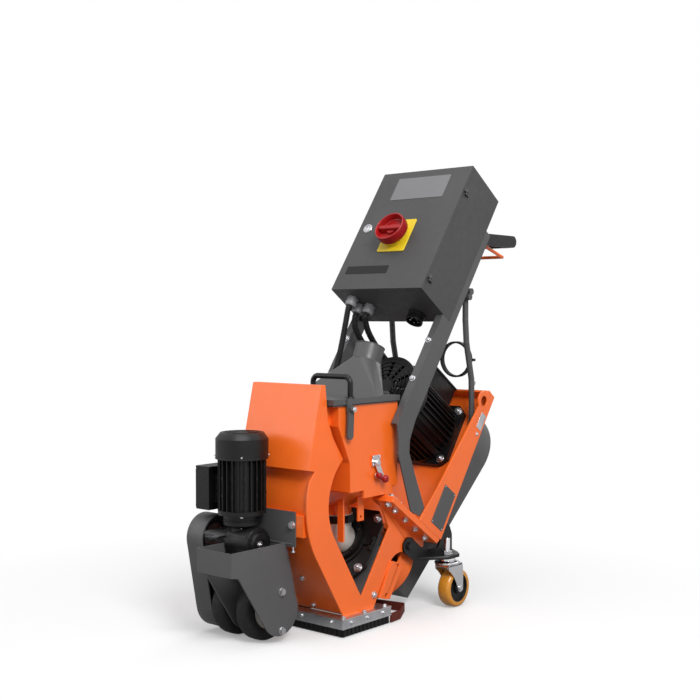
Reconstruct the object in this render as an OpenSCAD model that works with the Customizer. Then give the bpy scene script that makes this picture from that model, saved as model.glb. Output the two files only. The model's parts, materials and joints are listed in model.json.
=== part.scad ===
// Walk-behind shot-blasting machine: a blast head on a sealed base, a leaning arm that
// carries the blast motor, a control box on two bars, a driven front unit and two casters.
// Millimetres. +Z up, +X the machine's right side, -Y its front. The origin lies on the
// floor under the middle of the blast opening.

/* [Base] */
// Width of the base frame
base_w = 264; // [258:1:276]
// Length of the base frame
base_len = 184; // [180:1:186]
// Height of the base frame's lower edge
base_low = 20; // [16:1:26]
// Wall of the base frame
base_t = 4; // [3:0.5:6]
// Gap between the floor and the seal
seal_gap = 1.5; // [1:0.5:4]
// Thickness of the floor seal
seal_t = 13; // [8:1:18]
// Width of the blast opening
blast_w = 200; // [180:1:208]
// Length of the blast opening
blast_len = 112; // [104:1:116]

/* [Blast head] */
// Outer width across the two side plates
head_w = 224; // [222:1:226]
// Thickness of the side plates
plate_t = 5; // [4:0.5:6]
// Thickness of folded sheet
sheet_t = 3; // [2:0.5:4]
// Radius of the blast wheel
wheel_r = 76; // [60:1:79]
// Number of blades on the blast wheel
blade_count = 8; // [6:1:10]
// Radius of the blast wheel's shaft
shaft_r = 12; // [10:0.5:14]
// Outer radius of the feed spout
spout_r = 38; // [34:0.5:39]
// Wall of the feed spout
spout_t = 4; // [2:0.5:6]

/* [Hopper and lid] */
// Width of the hopper
hopper_w = 250; // [246:1:251]
// Depth of the lid
lid_h = 16; // [14:1:20]
// Outer radius of the dust spigot
spigot_r = 38; // [34:0.5:39]
// Radius of the lid's handle bar
handle_r = 6; // [4:0.5:7]

/* [Arm and blast motor] */
// Thickness of the arm's main plate
arm_t = 6; // [4:0.5:6]
// Radius of the blast motor's fan cowl
motor_r = 95; // [94:0.5:98]
// Number of cooling fins on the blast motor
fin_count = 36; // [24:2:44]
// Radius of the motor pulley
motor_pulley_r = 66; // [50:1:90]
// Radius of the wheel pulley
wheel_pulley_r = 20; // [18:0.5:21]
// Radius of the motor shaft
motor_shaft_r = 14; // [12:0.5:16]
// Depth of the belt guard
guard_depth = 92; // [84:1:96]

/* [Control box] */
// Height of the control box
box_h = 400; // [380:1:420]
// Depth of the control box with its door
box_d = 150; // [140:1:160]
// Thickness of the door
door_t = 12; // [10:1:18]
// Wall of the control box
box_t = 2; // [1.5:0.5:3]
// Radius of the switch handle
knob_r = 44; // [36:1:46]
// Radius of a cable
cable_r = 8; // [7:0.5:9]

/* [Frame and handlebar] */
// Thickness of a frame bar
bar_t = 4; // [3:0.5:4]
// Radius of the support struts
strut_r = 8; // [7:0.5:8.5]
// Height of the handlebar's arms
grip_h = 34; // [30:1:36]
// Radius of the bail's wire
bail_r = 5; // [4:0.5:6]

/* [Front unit] */
// Radius of the front tyres
tyre_r = 75; // [73:0.5:76]
// Width of a front tyre
tyre_w = 42; // [36:1:42]
// Radius of the front axle
axle_r = 10; // [8:0.5:11]
// Radius of the drive motor's cowl
drive_r = 62; // [60:0.5:63]
// Width of the roller chain
chain_w = 7; // [5:0.5:8]

/* [Casters] */
// Radius of a caster wheel
caster_r = 50; // [47:0.5:51]
// Width of a caster wheel
caster_w = 36; // [30:1:37]
// Trail of a caster
trail = 30; // [26:1:32]
// Radius of a caster's stem
stem_r = 8; // [7:0.5:9]

/* [Fits] */
// Radial clearance of a shaft that turns in its bore
run_gap = 0.05; // [0.03:0.01:0.08]
// Gap between pieces that stand face to face
face_gap = 0.3; // [0.2:0.1:0.4]

/* [Hidden] */
$fn = 64;

orange = [0.95, 0.36, 0.10];
slate = [0.27, 0.28, 0.29];
coal = [0.06, 0.06, 0.07];
zinc = [0.75, 0.76, 0.78];
ivory = [0.90, 0.89, 0.86];
amber = [0.80, 0.55, 0.15];
red = [0.75, 0.06, 0.12];

// The side-view places below are [y, z]: y counts back from the base frame's front edge,
// z up from the floor. rig() moves them so that the blast opening's middle is at y = 0.
base_top = 44;
mid_y = base_len / 2;
plate_x = head_w / 2;
inner_x = plate_x - plate_t;
duct_arc = [113.5, 311];
duct_out = 216;
duct_in = 140.5;
duct_a = 212.1;
leg_dir = [0.531, -0.847];
duct_top = 600;
v_tip = [93, 79];

// The arm's own frame: s runs up along the arm and n out of its front face.
lean = 35;
arm_at = [374, 203];
arm_x = 150;
gusset_x = 155;
flange_s = -30;
flange_t = 8;
flange_n = 236;
wheel_s = -131;
drum_r = 88;
drum_wall = 6;
drum_n0 = 105;
drum_n1 = 172;
cover_n = drum_n1 + 6;
motor_s = 272;
guard_n = -guard_depth;
pulley_n0 = -68;
pulley_n1 = -28;
box_x = 150;
box_s = 462;
box_n = 287;
door_n = box_n + box_d;
door_hinge = [box_x + 4.8, door_n - door_t];
knob_at = [-4, 635];
inlet_at = [66, 322];
ring_at = [72, 545, 643];
bar_n = 264.5;
bar_n_top = 286.7;
bar_n_low = 321.5;
bar_end = 760;

// The front unit.
axle_at = [-120, tyre_r];
output_at = [-160, 233];
drive_at = [-41, -160];
fork_right = 47;
fork_left = -66;
fork_t = 4;
guard_left = -172;
guard_inner = -118;
chain_x = -140;
pad_y = -102.4;

// The casters' swing pivot and stems.
pivot_at = [276, 176];
stem_at = [148, 398];
carrier_z = 134;
carrier_t = 8;
caster_turn = 0;

// The hopper and its lid.
hopper_top = 549;
hopper_x = hopper_w / 2;
lid_z = hopper_top + face_gap;
lid_top = hopper_top + lid_h;
lid_x = hopper_x + 5;
hinge_at = [224, lid_top + 1];
spout_n = cover_n + 6.6;
outlet_y = on_arm(wheel_s, spout_n)[0] + 45 * (sin(lean) - 1);
latch_at = [25, 541];
valve_at = [128, 405];

function arc(c, r, a0, a1, n) = [for (i = [0 : n])
    [c[0] + r * cos(a0 + (a1 - a0) * i / n), c[1] + r * sin(a0 + (a1 - a0) * i / n)]];
function unit(v) = v / norm(v);
// A point (s, n) of the arm's frame as a side-view point.
function on_arm(s, n) = [arm_at[0] + s * sin(lean) - n * cos(lean),
    arm_at[1] + s * cos(lean) + n * sin(lean)];
function rig_point(p) = [p[0], on_arm(p[1], p[2])[0] - mid_y, on_arm(p[1], p[2])[1]];
// The foot of the duct's leg for a sheet at radius r, at height z.
function leg_foot(r, z) = let (p = duct_arc + r * [cos(duct_a), sin(duct_a)])
    p + leg_dir * (z - p[1]) / leg_dir[1];

module rig() { translate([0, -mid_y, 0]) children(); }
module tilt() { translate([0, arm_at[0] - mid_y, arm_at[1]]) rotate([90 - lean, 0, 0]) children(); }
module along_x(x0, x1) {
    translate([x0, 0, 0]) rotate([90, 0, 90]) linear_extrude(x1 - x0) children();
}
module along_n(n0, n1) { translate([0, 0, n0]) linear_extrude(n1 - n0) children(); }
module block(a, b) { translate(a) cube(b - a); }
module rod(p, q, r) {
    v = q - p;
    translate(p) rotate([0, acos(v[2] / norm(v)), atan2(v[1], v[0])]) cylinder(r = r, h = norm(v));
}
module disc_x(x0, x1, at, r) { rod([x0, at[0], at[1]], [x1, at[0], at[1]], r); }
module disc_n(at, n0, n1, r) { translate([at[0], at[1], n0]) cylinder(r = r, h = n1 - n0); }
// A bent round bar through a list of points.
module bent_bar(path, r) {
    for (i = [0 : len(path) - 2]) rod(path[i], path[i + 1], r);
    for (i = [1 : len(path) - 2]) translate(path[i]) sphere(r = r * 1.04, $fn = 32);
}
// A hexagon bolt head on its washer, standing on z = 0.
module bolt_head(d) {
    cylinder(r = d * 1.05, h = 1.6, $fn = 24);
    translate([0, 0, 1.6]) cylinder(r = d * 0.92, h = d * 0.62, $fn = 6);
}
module bar_outline(p, q, r) {
    v = unit(q - p) * r;
    m = [-v[1], v[0]];
    translate(p) circle(r = r);
    translate(q) circle(r = r);
    polygon([p + m, q + m, q - m, p - m]);
}
// The outline around two circles and their outer tangents.
module belt_outline(p, rp, q, rq) {
    a = atan2(q[1] - p[1], q[0] - p[0]);
    b = acos((rp - rq) / norm(q - p));
    translate(p) circle(r = rp);
    translate(q) circle(r = rq);
    polygon([p + rp * [cos(a + b), sin(a + b)], p + rp * [cos(a - b), sin(a - b)],
        q + rq * [cos(a - b), sin(a - b)], q + rq * [cos(a + b), sin(a + b)]]);
}
// A point on the smooth curve through a route, at step i of n per leg.
function route_at(p, k, t) = let (a = p[max(k - 1, 0)], b = p[k], c = p[k + 1],
    d = p[min(k + 2, len(p) - 1)]) 0.5 * (2 * b + (c - a) * t
    + (2 * a - 5 * b + 4 * c - d) * t * t + (3 * b - a - 3 * c + d) * t * t * t);
function route(p, n) = concat([for (k = [0 : len(p) - 2]) for (i = [0 : n - 1])
    route_at(p, k, i / n)], [p[len(p) - 1]]);
function heading(q, i) = unit(q[min(i + 1, len(q) - 1)] - q[max(i - 1, 0)]);
function carry(u, t) = unit(u - (u * t) * t);
function sides(q, i, u) = i == len(q) ? [] : let (v = carry(u, heading(q, i)))
    concat([v], sides(q, i + 1, v));
// A round tube of radius r along a route.
module tube(p, n, r, m) {
    q = route(p, n);
    u = sides(q, 0, [1, 0.013, 0.021]);
    pts = [for (i = [0 : len(q) - 1]) let (w = cross(heading(q, i), u[i])) for (j = [0 : m - 1])
        q[i] + r * (cos(360 * j / m) * u[i] + sin(360 * j / m) * w)];
    last = len(q) - 1;
    polyhedron(points = pts, faces = concat([[for (j = [0 : m - 1]) j]],
        [for (i = [0 : last - 1]) for (j = [0 : m - 1])
            [i * m + j, (i + 1) * m + (j + 1) % m, i * m + (j + 1) % m]],
        [for (i = [0 : last - 1]) for (j = [0 : m - 1])
            [i * m + j, (i + 1) * m + j, (i + 1) * m + (j + 1) % m]],
        [[for (j = [m - 1 : -1 : 0]) last * m + j]]));
}

// ---- Base ----
module base_frame() {
    color(zinc) rig() difference() {
        block([-base_w / 2, 0, base_low], [base_w / 2, base_len, base_top]);
        block([-base_w / 2 + base_t, base_t, base_low - 1],
            [base_w / 2 - base_t, base_len - base_t, base_top - base_t]);
        block([-blast_w / 2, mid_y - blast_len / 2, base_low],
            [blast_w / 2, mid_y + blast_len / 2, base_top + 1]);
    }
}
// The seal hangs inside the frame and is slit from below all round.
module floor_seal() {
    sx = base_w / 2 - base_t;
    color(coal) rig() difference() {
        block([-sx, base_t, seal_gap], [sx, base_len - base_t, base_top - base_t]);
        block([-sx + seal_t, base_t + seal_t, 0],
            [sx - seal_t, base_len - base_t - seal_t, base_top]);
        for (x = [-112 : 14 : 112]) block([x - 1, 0, 0], [x + 1, base_len, seal_gap + 12]);
        for (y = [22 : 14 : 162]) block([-sx - 1, y - 1, 0], [sx + 1, y + 1, seal_gap + 12]);
    }
}
module skirt_outline(d) {
    x = base_w / 2;
    y = base_len;
    polygon([[x - d, y - 1], [x - 4 - d, y + 43], [x - 42, y + 109 - d], [19, y + 95 - d],
        [-19, y + 95 - d], [42 - x, y + 109 - d], [4 - x + d, y + 43], [d - x, y - 1]]);
}
module rear_skirt() {
    color([0.45, 0.16, 0.10]) rig() translate([0, 0, 2]) linear_extrude(22) difference() {
        skirt_outline(0);
        skirt_outline(4);
        translate([-200, 100]) square([400, base_len - 100]);
    }
}

// ---- Blast head ----
module head_outline() {
    polygon(concat(arc(duct_arc, duct_out, 161.4, duct_a, 24),
        [leg_foot(duct_out, base_top), [141, base_top], [160, 79]],
        arc([247, 107], 58, 135, 48.5, 16),
        [[300, 152], [344, 166], on_arm(flange_s - flange_t, 10),
            on_arm(flange_s - flange_t, flange_n - 4), on_arm(-75, 160), v_tip],
        arc(duct_arc, duct_in, duct_a, 128.7, 24),
        [[-9, 471], [-29, 516], [-35, 572], [-38, duct_top], [-46, duct_top], [-75, 401]]));
}
module side_plate() {
    difference() {
        union() {
            rig() along_x(inner_x, plate_x) head_outline();
            rig() along_x(plate_x - 1, plate_x + 6) polygon([[206, 150], [230, 142], [245, 133],
                [244, 125], [197, 56], [177, 59], [155, 66]]);
            tilt() block([90, flange_s - flange_t, 10], [gusset_x, flange_s, flange_n]);
        }
        rig() disc_x(plate_x - 9, plate_x + 9, [229, 134], 5.5);
        rig() disc_x(plate_x - 9, plate_x + 9, [182, 68], 5.5);
        rig() disc_x(plate_x - 9, plate_x + 9, pivot_at, 6 + run_gap);
    }
}
module side_plate_right() { color(orange) side_plate(); }
module side_plate_left() { color(orange) mirror([1, 0, 0]) side_plate(); }
module sheet_outline(r0, r1, a0) {
    polygon(concat(arc(duct_arc, r1, a0, duct_a, 24), [leg_foot(r1, base_top),
        leg_foot(r0, base_top)], arc(duct_arc, r0, duct_a, a0, 24)));
}
// The duct's front and back sheets, its top, the throat to the hopper and the front pad.
module rebound_duct() {
    r1 = duct_out - 12;
    back = concat(arc(duct_arc, duct_in, duct_a, 128.7, 24),
        [[-9, 471], [-29, 516], [-35, 572], [-38, duct_top]]);
    front = [for (i = [len(back) - 1 : -1 : 0]) back[i] - sheet_t * [i > 24 ? 1 : -cos(duct_a
        - (duct_a - 128.7) * i / 24), i > 24 ? 0.25 : -sin(duct_a - (duct_a - 128.7) * i / 24)]];
    color(orange) rig() difference() {
        union() {
            along_x(-inner_x, inner_x) sheet_outline(r1 - sheet_t, r1, 161.4);
            along_x(-inner_x, inner_x) polygon([[-79.8, 374], [-75, 401], [-71, 401],
                [-76.5, 374]]);
            along_x(-inner_x, inner_x) polygon(concat([v_tip + [-2, 2]], back, front,
                [v_tip + [-6, 2]]));
            block([-inner_x, -46, duct_top - 3], [inner_x, -36, duct_top]);
            block([-100, -34, 503], [100, -7, 546]);
            along_x(-104, 100) polygon([[pad_y, 250], [pad_y, 300], [-88, 300], [-80, 250]]);
        }
        block([-97, -50, 506], [97, 0, 543]);
        block([-97, pad_y + 6, 254], [93, -50, 296]);
    }
}
module duct_cover() {
    color(orange) rig() difference() {
        along_x(-plate_x, plate_x) polygon([[-52, duct_top], [-97, 405], [-75, 401],
            [-46, duct_top]]);
        along_x(-plate_x + sheet_t, plate_x - sheet_t) polygon([[-49.5, duct_top - 3],
            [-93, 408], [-70, 404], [-40, duct_top - 3]]);
    }
}
// The wheel's drum with the throat that opens over the floor, and the foot behind it.
module wheel_housing() {
    color(slate) {
        difference() {
            tilt() union() {
                disc_n([0, wheel_s], drum_n0, drum_n1, drum_r);
                block([-inner_x, -340, drum_n0 + 0.4], [inner_x, wheel_s + 5, drum_n1 - 13]);
            }
            tilt() disc_n([0, wheel_s], drum_n0 + 4, drum_n1 + 1, drum_r - drum_wall);
            tilt() disc_n([0, wheel_s], drum_n0 - 1, drum_n1, shaft_r + 2);
            tilt() block([-76, -340, drum_n0 + 4.4], [76, wheel_s + 9, drum_n1 - 17]);
            rig() block([-200, -100, -100], [200, 400, base_top]);
        }
        rig() block([-inner_x + 1, 133.5, base_top],
            [inner_x - 1, mid_y + blast_len / 2 + 8, base_top + 4]);
    }
}
module wheel_cover() {
    color(coal) tilt() difference() {
        union() {
            along_n(drum_n1, cover_n) translate([0, wheel_s - 2]) polygon([[76, 92], [105, 55],
                [105, -55], [76, -92], [-76, -92], [-105, -55], [-105, 55], [-76, 92]]);
            disc_n([0, wheel_s], cover_n - 1, cover_n + 8, 60);
        }
        disc_n([0, wheel_s], cover_n, cover_n + 9, 47);
        disc_n([0, wheel_s], drum_n1 - 1, cover_n + 9, 28);
    }
}
// The spout leaves the cover, bends upright and holds the hopper's outlet in its collar.
module feed_spout() {
    bend = 45;
    n0 = spout_n;
    start = on_arm(wheel_s, n0);
    centre = start + bend * [sin(lean), cos(lean)];
    end = centre + bend * [-1, 0];
    turn = [for (a = [0 : 11 : 90 - lean + 0.1]) centre + bend * [-cos(90 - lean - a) ,
        -sin(90 - lean - a)]];
    axis = unit(start - on_arm(wheel_s, cover_n));
    line = concat([start - (n0 - cover_n) * axis], turn, [[end[0], 262]]);
    bore = concat([start - (n0 - cover_n + 3) * axis], turn, [[end[0], 265]]);
    color(ivory) rig() difference() {
        union() {
            tube([for (p = line) [0, p[0], p[1]]], 1, spout_r, 36);
            translate([0, end[0], 246]) cylinder(r = spout_r + 3, h = 22);
        }
        tube([for (p = bore) [0, p[0], p[1]]], 1, spout_r - spout_t, 36);
        translate([0, end[0], 262]) cylinder(r = spout_r + face_gap, h = 7);
    }
}
module blast_wheel() {
    n0 = drum_n0 + 7;
    n1 = drum_n1 - 14;
    color(zinc) tilt() translate([0, wheel_s, 0]) {
        disc_n([0, 0], -70, drum_n0 + 23, shaft_r);
        disc_n([0, 0], pulley_n0, pulley_n1, wheel_pulley_r);
        disc_n([0, 0], n0, n0 + 4, wheel_r);
        disc_n([0, 0], n0 + 4, n0 + 12, 24);
        difference() {
            disc_n([0, 0], n1 - 4, n1, wheel_r);
            disc_n([0, 0], n1 - 5, n1 + 1, 34);
        }
        for (i = [0 : blade_count - 1]) rotate([0, 0, i * 360 / blade_count])
            block([34, -3, n0 + 4], [wheel_r - 1, 3, n1 - 4]);
    }
}
module bearing_bracket() {
    color(orange) tilt() difference() {
        union() {
            along_n(0, arm_t) union() {
                intersection() {
                    translate([0, -115]) circle(r = 98);
                    translate([-98, -215]) square([196, 215 + flange_s - flange_t]);
                }
                translate([-89.7, -115]) square([179.4, 115 + flange_s - flange_t]);
            }
            along_n(arm_t - 1, 60) difference() {
                translate([0, -115]) circle(r = 98);
                translate([0, -115]) circle(r = 94);
                translate([-100, flange_s - flange_t - 22]) square([200, 100]);
            }
            block([-89.7, flange_s - flange_t, 0], [89.7, flange_s, 60]);
        }
        disc_n([0, wheel_s], -1, 7, 30);
    }
}
module bearing_unit() {
    color(coal) tilt() difference() {
        union() {
            disc_n([0, wheel_s], arm_t, 22, 62);
            disc_n([0, wheel_s], 20, drum_n0, 44);
            disc_n([0, wheel_s], 86, drum_n0, 56);
        }
        disc_n([0, wheel_s], 0, drum_n0 + 1, shaft_r + run_gap);
    }
}

// ---- Hopper ----
module hopper_side(d) {
    polygon([[-7 + d, hopper_top + d], [-7 + d, 501], [34 + d, 412], [36 + d, 341 + d],
        [217 - d, 341 + d], [217 - d, hopper_top + d]]);
}
module hopper() {
    color(orange) rig() difference() {
        union() {
            along_x(-hopper_x, hopper_x) hopper_side(0);
            along_x(hopper_x - 6, hopper_x) polygon([[86, 342], [86, 322], on_arm(flange_s
                + flange_t, flange_n + 4), on_arm(flange_s + flange_t, 196), [196, 342]]);
            along_x(-hopper_x, 6 - hopper_x) polygon([[150, 342], [150, 334], on_arm(flange_s + flange_t,
                flange_n), on_arm(flange_s + flange_t, 196), [196, 342]]);
            block([hopper_x - 1, 112, 396], [hopper_x + 3, 144, 424]);
        }
        along_x(-hopper_x + sheet_t, hopper_x - sheet_t) hopper_side(sheet_t);
        block([-117, 43, 338], [117, 211, 346]);
        block([-97, -10, 506], [97, 0, 543]);
        disc_x(hopper_x - 9, hopper_x + 9, valve_at, 5 + run_gap);
    }
}
// The funnel under the hopper, its neck and the tabs beside it.
module hopper_funnel() {
    color(orange) rig() difference() {
        union() {
            hull() {
                block([-118.5, 40, 337.7], [118.5, 214, 340.7]);
                translate([0, outlet_y, 290]) cylinder(r = spout_r + 0.6, h = 1);
            }
            translate([0, outlet_y, 262]) cylinder(r = spout_r, h = 30);
            block([60, 64, 212], [64, 86, 320]);
            block([60, 64, 212], [78, 68, 320]);
            block([88, 104, 260], [92, 126, 320]);
        }
        hull() {
            block([-115.5, 43, 340.7], [115.5, 211, 345]);
            translate([0, outlet_y, 293]) cylinder(r = spout_r - 2.4, h = 1);
        }
        translate([0, outlet_y, 261]) cylinder(r = spout_r - 3, h = 40);
        disc_x(80, 100, [115, 270], 4);
    }
}
module valve_lever() {
    x = hopper_x + 3 + face_gap;
    color(zinc) rig() {
        disc_x(hopper_x - 9, x + 1, valve_at, 5);
        disc_x(hopper_x - 9, hopper_x - 4, valve_at, 14);
        along_x(x, x + 5) bar_outline(valve_at, [149, 364], 8);
        along_x(x, x + 5) bar_outline([149, 364], [126, 374], 6);
        disc_x(x, x + 16, [149, 364], 9);
        disc_x(x, x + 16, [126, 374], 8);
    }
}

// ---- Lid ----
module lid() {
    color(slate) rig() {
        difference() {
            block([-lid_x, -30, lid_z], [lid_x, 221, lid_top]);
            block([-lid_x + 3, -27, lid_z + 3], [lid_x - 3, 218, lid_top - 3]);
            block([-lid_x + 18, -12, lid_z - 1], [lid_x - 18, 203, lid_z + 4]);
            block([-90, 137, lid_top - 4], [90, 157, lid_top + 1]);
        }
        for (k = [-1, 1]) {
            difference() {
                union() {
                    block([k * 75 - 14, 206, lid_top - 1], [k * 75 + 14, 224, lid_top + 7]);
                    disc_x(k * 75 - 14, k * 75 + 14, hinge_at, 6);
                }
                disc_x(k * 75 - 15, k * 75 + 15, hinge_at, 3 + run_gap);
            }
        }
        block([lid_x - 1, latch_at[0] - 9, latch_at[1] - 8], [lid_x + 3, latch_at[0] + 9, lid_top]);
        disc_x(lid_x + 2, lid_x + 3 + face_gap + 5, latch_at, 5);
        disc_x(lid_x + 3 + 2 * face_gap + 5, lid_x + 14, latch_at, 8);
        disc_x(lid_x + 3, lid_x + 13, latch_at, 5);
    }
}
module lid_latch() {
    x = lid_x + 3 + face_gap;
    color(slate) rig() difference() {
        along_x(x, x + 5) bar_outline(latch_at, latch_at - [3, 62], 10);
        disc_x(x - 1, x + 6, latch_at, 5 + run_gap);
    }
}
module lid_handle() {
    color(coal) rig() {
        bent_bar([[-2, 45, lid_top], [-2, 45, 616], [117, 45, 616], [117, 45, lid_top]], handle_r);
        disc_x(10, 105, [45, 616], handle_r + 3);
    }
}
module hood(d) {
    hull() {
        block([-126 + d, 134 + d, lid_top - (d > 0 ? 1 : 0)], [126 - d, 160 - d, lid_top + 1]);
        translate([0, 247, 643]) rotate([-22, 0, 0]) cylinder(r = spigot_r + 1.2 - d, h = 1);
    }
}
module dust_spigot() {
    color(slate) rig() difference() {
        union() {
            hood(0);
            translate([0, 247, 643]) rotate([-22, 0, 0]) translate([0, 0, 0.5])
                cylinder(r = spigot_r, h = 43.5);
        }
        hood(3);
        translate([0, 247, 643]) rotate([-22, 0, 0]) translate([0, 0, -4])
            cylinder(r = spigot_r - 3.3, h = 50);
    }
}

// ---- Arm ----
module gusset_outline() {
    polygon([[-22, 0], [410, 0], [412, 32], [390, 45], [350, 50], [82, 89], [-6, 108],
        [-22, 110]]);
    translate([375, 37]) circle(r = 27);
}
module arm() {
    color(orange) tilt() difference() {
        union() {
            block([-arm_x, flange_s, 0], [arm_x, 410, arm_t]);
            block([-arm_x, 404, 0], [arm_x, 410, 35]);
            block([-89.5, flange_s, 0], [89.5, flange_s + flange_t, 60]);
        }
        disc_n([0, motor_s], -1, arm_t + 1, 50);
    }
}
module arm_gusset() {
    difference() {
        tilt() union() {
            rotate([90, 0, 90]) translate([0, 0, arm_x]) linear_extrude(gusset_x - arm_x)
                gusset_outline();
            block([90, flange_s, arm_t], [gusset_x - 1, flange_s + flange_t, flange_n]);
        }
        tilt() rod([140, 375, 37], [160, 375, 37], 14);
    }
}
module arm_gusset_right() { color(orange) arm_gusset(); }
module arm_gusset_left() { color(orange) mirror([1, 0, 0]) arm_gusset(); }
module motor_body() {
    color(coal) tilt() difference() {
        union() {
            along_n(arm_t, 22) translate([0, motor_s]) intersection() {
                circle(r = 116);
                square(184, center = true);
            }
            disc_n([0, motor_s], 20, 200, 82);
            disc_n([0, motor_s], 20, 32, 93);
            disc_n([0, motor_s], 188, 200, 93);
            for (i = [0 : fin_count - 1]) translate([0, motor_s, 0])
                rotate([0, 0, (i + 0.5) * 360 / fin_count])
                block([78, -1.3, 30], [93, 1.3, 190]);
        }
        disc_n([0, motor_s], 30, 190, 60);
        disc_n([0, motor_s], 0, 201, motor_shaft_r + run_gap);
    }
}
module motor_cowl() {
    color(coal) tilt() translate([0, motor_s, 0]) difference() {
        disc_n([0, 0], 200, 260, motor_r);
        disc_n([0, 0], 199, 256, motor_r - 3);
        for (i = [0 : 11]) rotate([0, 0, i * 30]) block([26, -5, 250], [motor_r - 14, 5, 261]);
    }
}
module motor_terminal_box() {
    color(coal) tilt() difference() {
        block([-50, 344, 40], [50, 403, 150]);
        disc_n([0, motor_s], 20, 200, 93.2);
    }
}
module motor_rotor() {
    color(zinc) tilt() translate([0, motor_s, 0]) {
        disc_n([0, 0], -70, 240, motor_shaft_r);
        disc_n([0, 0], pulley_n0, pulley_n1, motor_pulley_r);
        disc_n([0, 0], 45, 175, 55);
        disc_n([0, 0], 209, 215, 30);
        for (i = [0 : 6]) rotate([0, 0, (i + 0.3) * 360 / 7]) block([16, -2, 212], [76, 2, 236]);
    }
}
module guard_outline(d) {
    intersection() {
        belt_outline([0, motor_s], 136 - d, [0, -180], 46 - d);
        translate([-200, -161 + d]) square([400, 800]);
    }
}
module belt_guard() {
    color([0.36, 0.37, 0.38]) tilt() difference() {
        along_n(guard_n, 0) guard_outline(0);
        along_n(guard_n + 3, 1) guard_outline(3);
    }
}
module drive_belt() {
    a = [0, motor_s];
    b = [0, wheel_s];
    color(coal) tilt() along_n(-66, -30) difference() {
        belt_outline(a, motor_pulley_r + 5 + face_gap, b, wheel_pulley_r + 5 + face_gap);
        belt_outline(a, motor_pulley_r + face_gap, b, wheel_pulley_r + face_gap);
    }
}

// ---- Frame and handlebar ----
module frame_bar() {
    rig() along_x(arm_x - bar_t, arm_x) polygon([[241, 272], [190, 420], [190, 457],
        on_arm(130, bar_n_low), on_arm(box_s - face_gap, bar_n_low),
        on_arm(box_s - face_gap, bar_n_top), on_arm(bar_end, bar_n_top),
        on_arm(bar_end, bar_n), on_arm(176, bar_n), [236, 452], [234, 420], [261, 355],
        [312, 242]]);
    tilt() block([128, 133, bar_n_low - 4.5], [arm_x - 2, box_s - 1, bar_n_low - 0.5]);
}
module frame_bar_right() { color(slate) frame_bar(); }
module frame_bar_left() { color(slate) mirror([1, 0, 0]) frame_bar(); }
module support_struts() {
    foot = on_arm(305, arm_t);
    color(slate) for (k = [0, 1]) mirror([k, 0, 0]) rig() difference() {
        union() {
            bent_bar([[125, foot[0], foot[1] - 8], [125, 541, 591], [125, 517, 690],
                [125, 512, 750], [125, 512, 833]], strut_r);
            disc_x(118, arm_x - bar_t, [512, 826], 9);
            disc_x(118, arm_x - bar_t, [505, 812], 9);
        }
        translate([0, mid_y, 0]) tilt() block([100, 200, -60], [145, 400, arm_t]);
    }
}
module handlebar() {
    color(coal) rig() difference() {
        union() {
            for (k = [0, 1]) mirror([k, 0, 0]) {
                along_x(136, 146) bar_outline([585, 968], [716, 968], grip_h / 2);
            }
            disc_x(-140, 140, [716, 968], grip_h / 2);
        }
        disc_x(-150, 150, [590, 955], bail_r + run_gap);
    }
}
module bail() {
    color(orange) rig() {
        for (k = [-1, 1]) disc_x(k < 0 ? -144 : 120, k < 0 ? -120 : 144, [590, 955], bail_r);
        bent_bar([[-127, 590, 955], [-127, 687, 925], [127, 687, 925], [127, 590, 955]],
            bail_r - 0.4);
    }
}

// ---- Control box ----
module control_box() {
    n1 = door_n - door_t - face_gap;
    color([0.30, 0.30, 0.31]) tilt() difference() {
        union() {
            block([-box_x, box_s, box_n], [box_x, box_s + box_h, n1]);
            for (s = [60, box_h - 60]) {
                rod([door_hinge[0], box_s + s - 29, door_hinge[1]],
                    [door_hinge[0], box_s + s - 13, door_hinge[1]], 2.2);
                block([box_x - 1, box_s + s - 29, n1 - 12], [door_hinge[0] + 2.2,
                    box_s + s - 24, n1]);
            }
        }
        block([-box_x + box_t, box_s + box_t, box_n + box_t],
            [box_x - box_t, box_s + box_h - box_t, n1 + 9]);
    }
}
module box_internals() {
    color(zinc) tilt() {
        block([-130, box_s + 25, box_n + box_t], [130, box_s + box_h - 25, box_n + box_t + 3]);
        for (x = [-90, -30, 30]) block([x, box_s + 230, box_n + 4], [x + 46, box_s + 320, box_n + 80]);
        block([-90, box_s + 60, box_n + 4], [100, box_s + 90, box_n + 40]);
        block([-90, box_s + 120, box_n + 4], [20, box_s + 200, box_n + 70]);
    }
}
module door() {
    n0 = door_n - door_t;
    color([0.30, 0.30, 0.31]) tilt() difference() {
        union() {
            block([-box_x, box_s, n0], [box_x, box_s + box_h, door_n]);
            for (s = [60, box_h - 60]) {
                block([box_x - 1, box_s + s - 23, n0 + 2], [door_hinge[0] + 2, box_s + s - 13, n0 + 7]);
                rod([door_hinge[0], box_s + s - 23.7, n0], [door_hinge[0], box_s + s - 13, n0], 4.4);
            }
        }
        block([-box_x + 2, box_s + 2, n0 - 1], [box_x - 2, box_s + box_h - 2, door_n - 2]);
        for (s = [60, box_h - 60]) rod([door_hinge[0], box_s + s - 33, n0],
            [door_hinge[0], box_s + s - 12, n0], 2.2 + run_gap);
        disc_n(knob_at, n0, door_n + 1, 6 + run_gap);
        disc_n([-119, 666], n0, door_n + 1, 8 + run_gap);
    }
}
module door_plates() {
    color([0.85, 0.72, 0.10]) tilt() difference() {
        union() {
            block([-49, 582, door_n], [41, 688, door_n + 2]);
            disc_n(knob_at, door_n, door_n + 16, 37);
            block([-86, 762, door_n], [90, 838, door_n + 1]);
            block([-126, 512, door_n], [14, 537, door_n + 1]);
        }
        disc_n(knob_at, door_n - 1, door_n + 17, 7);
    }
}
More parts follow.
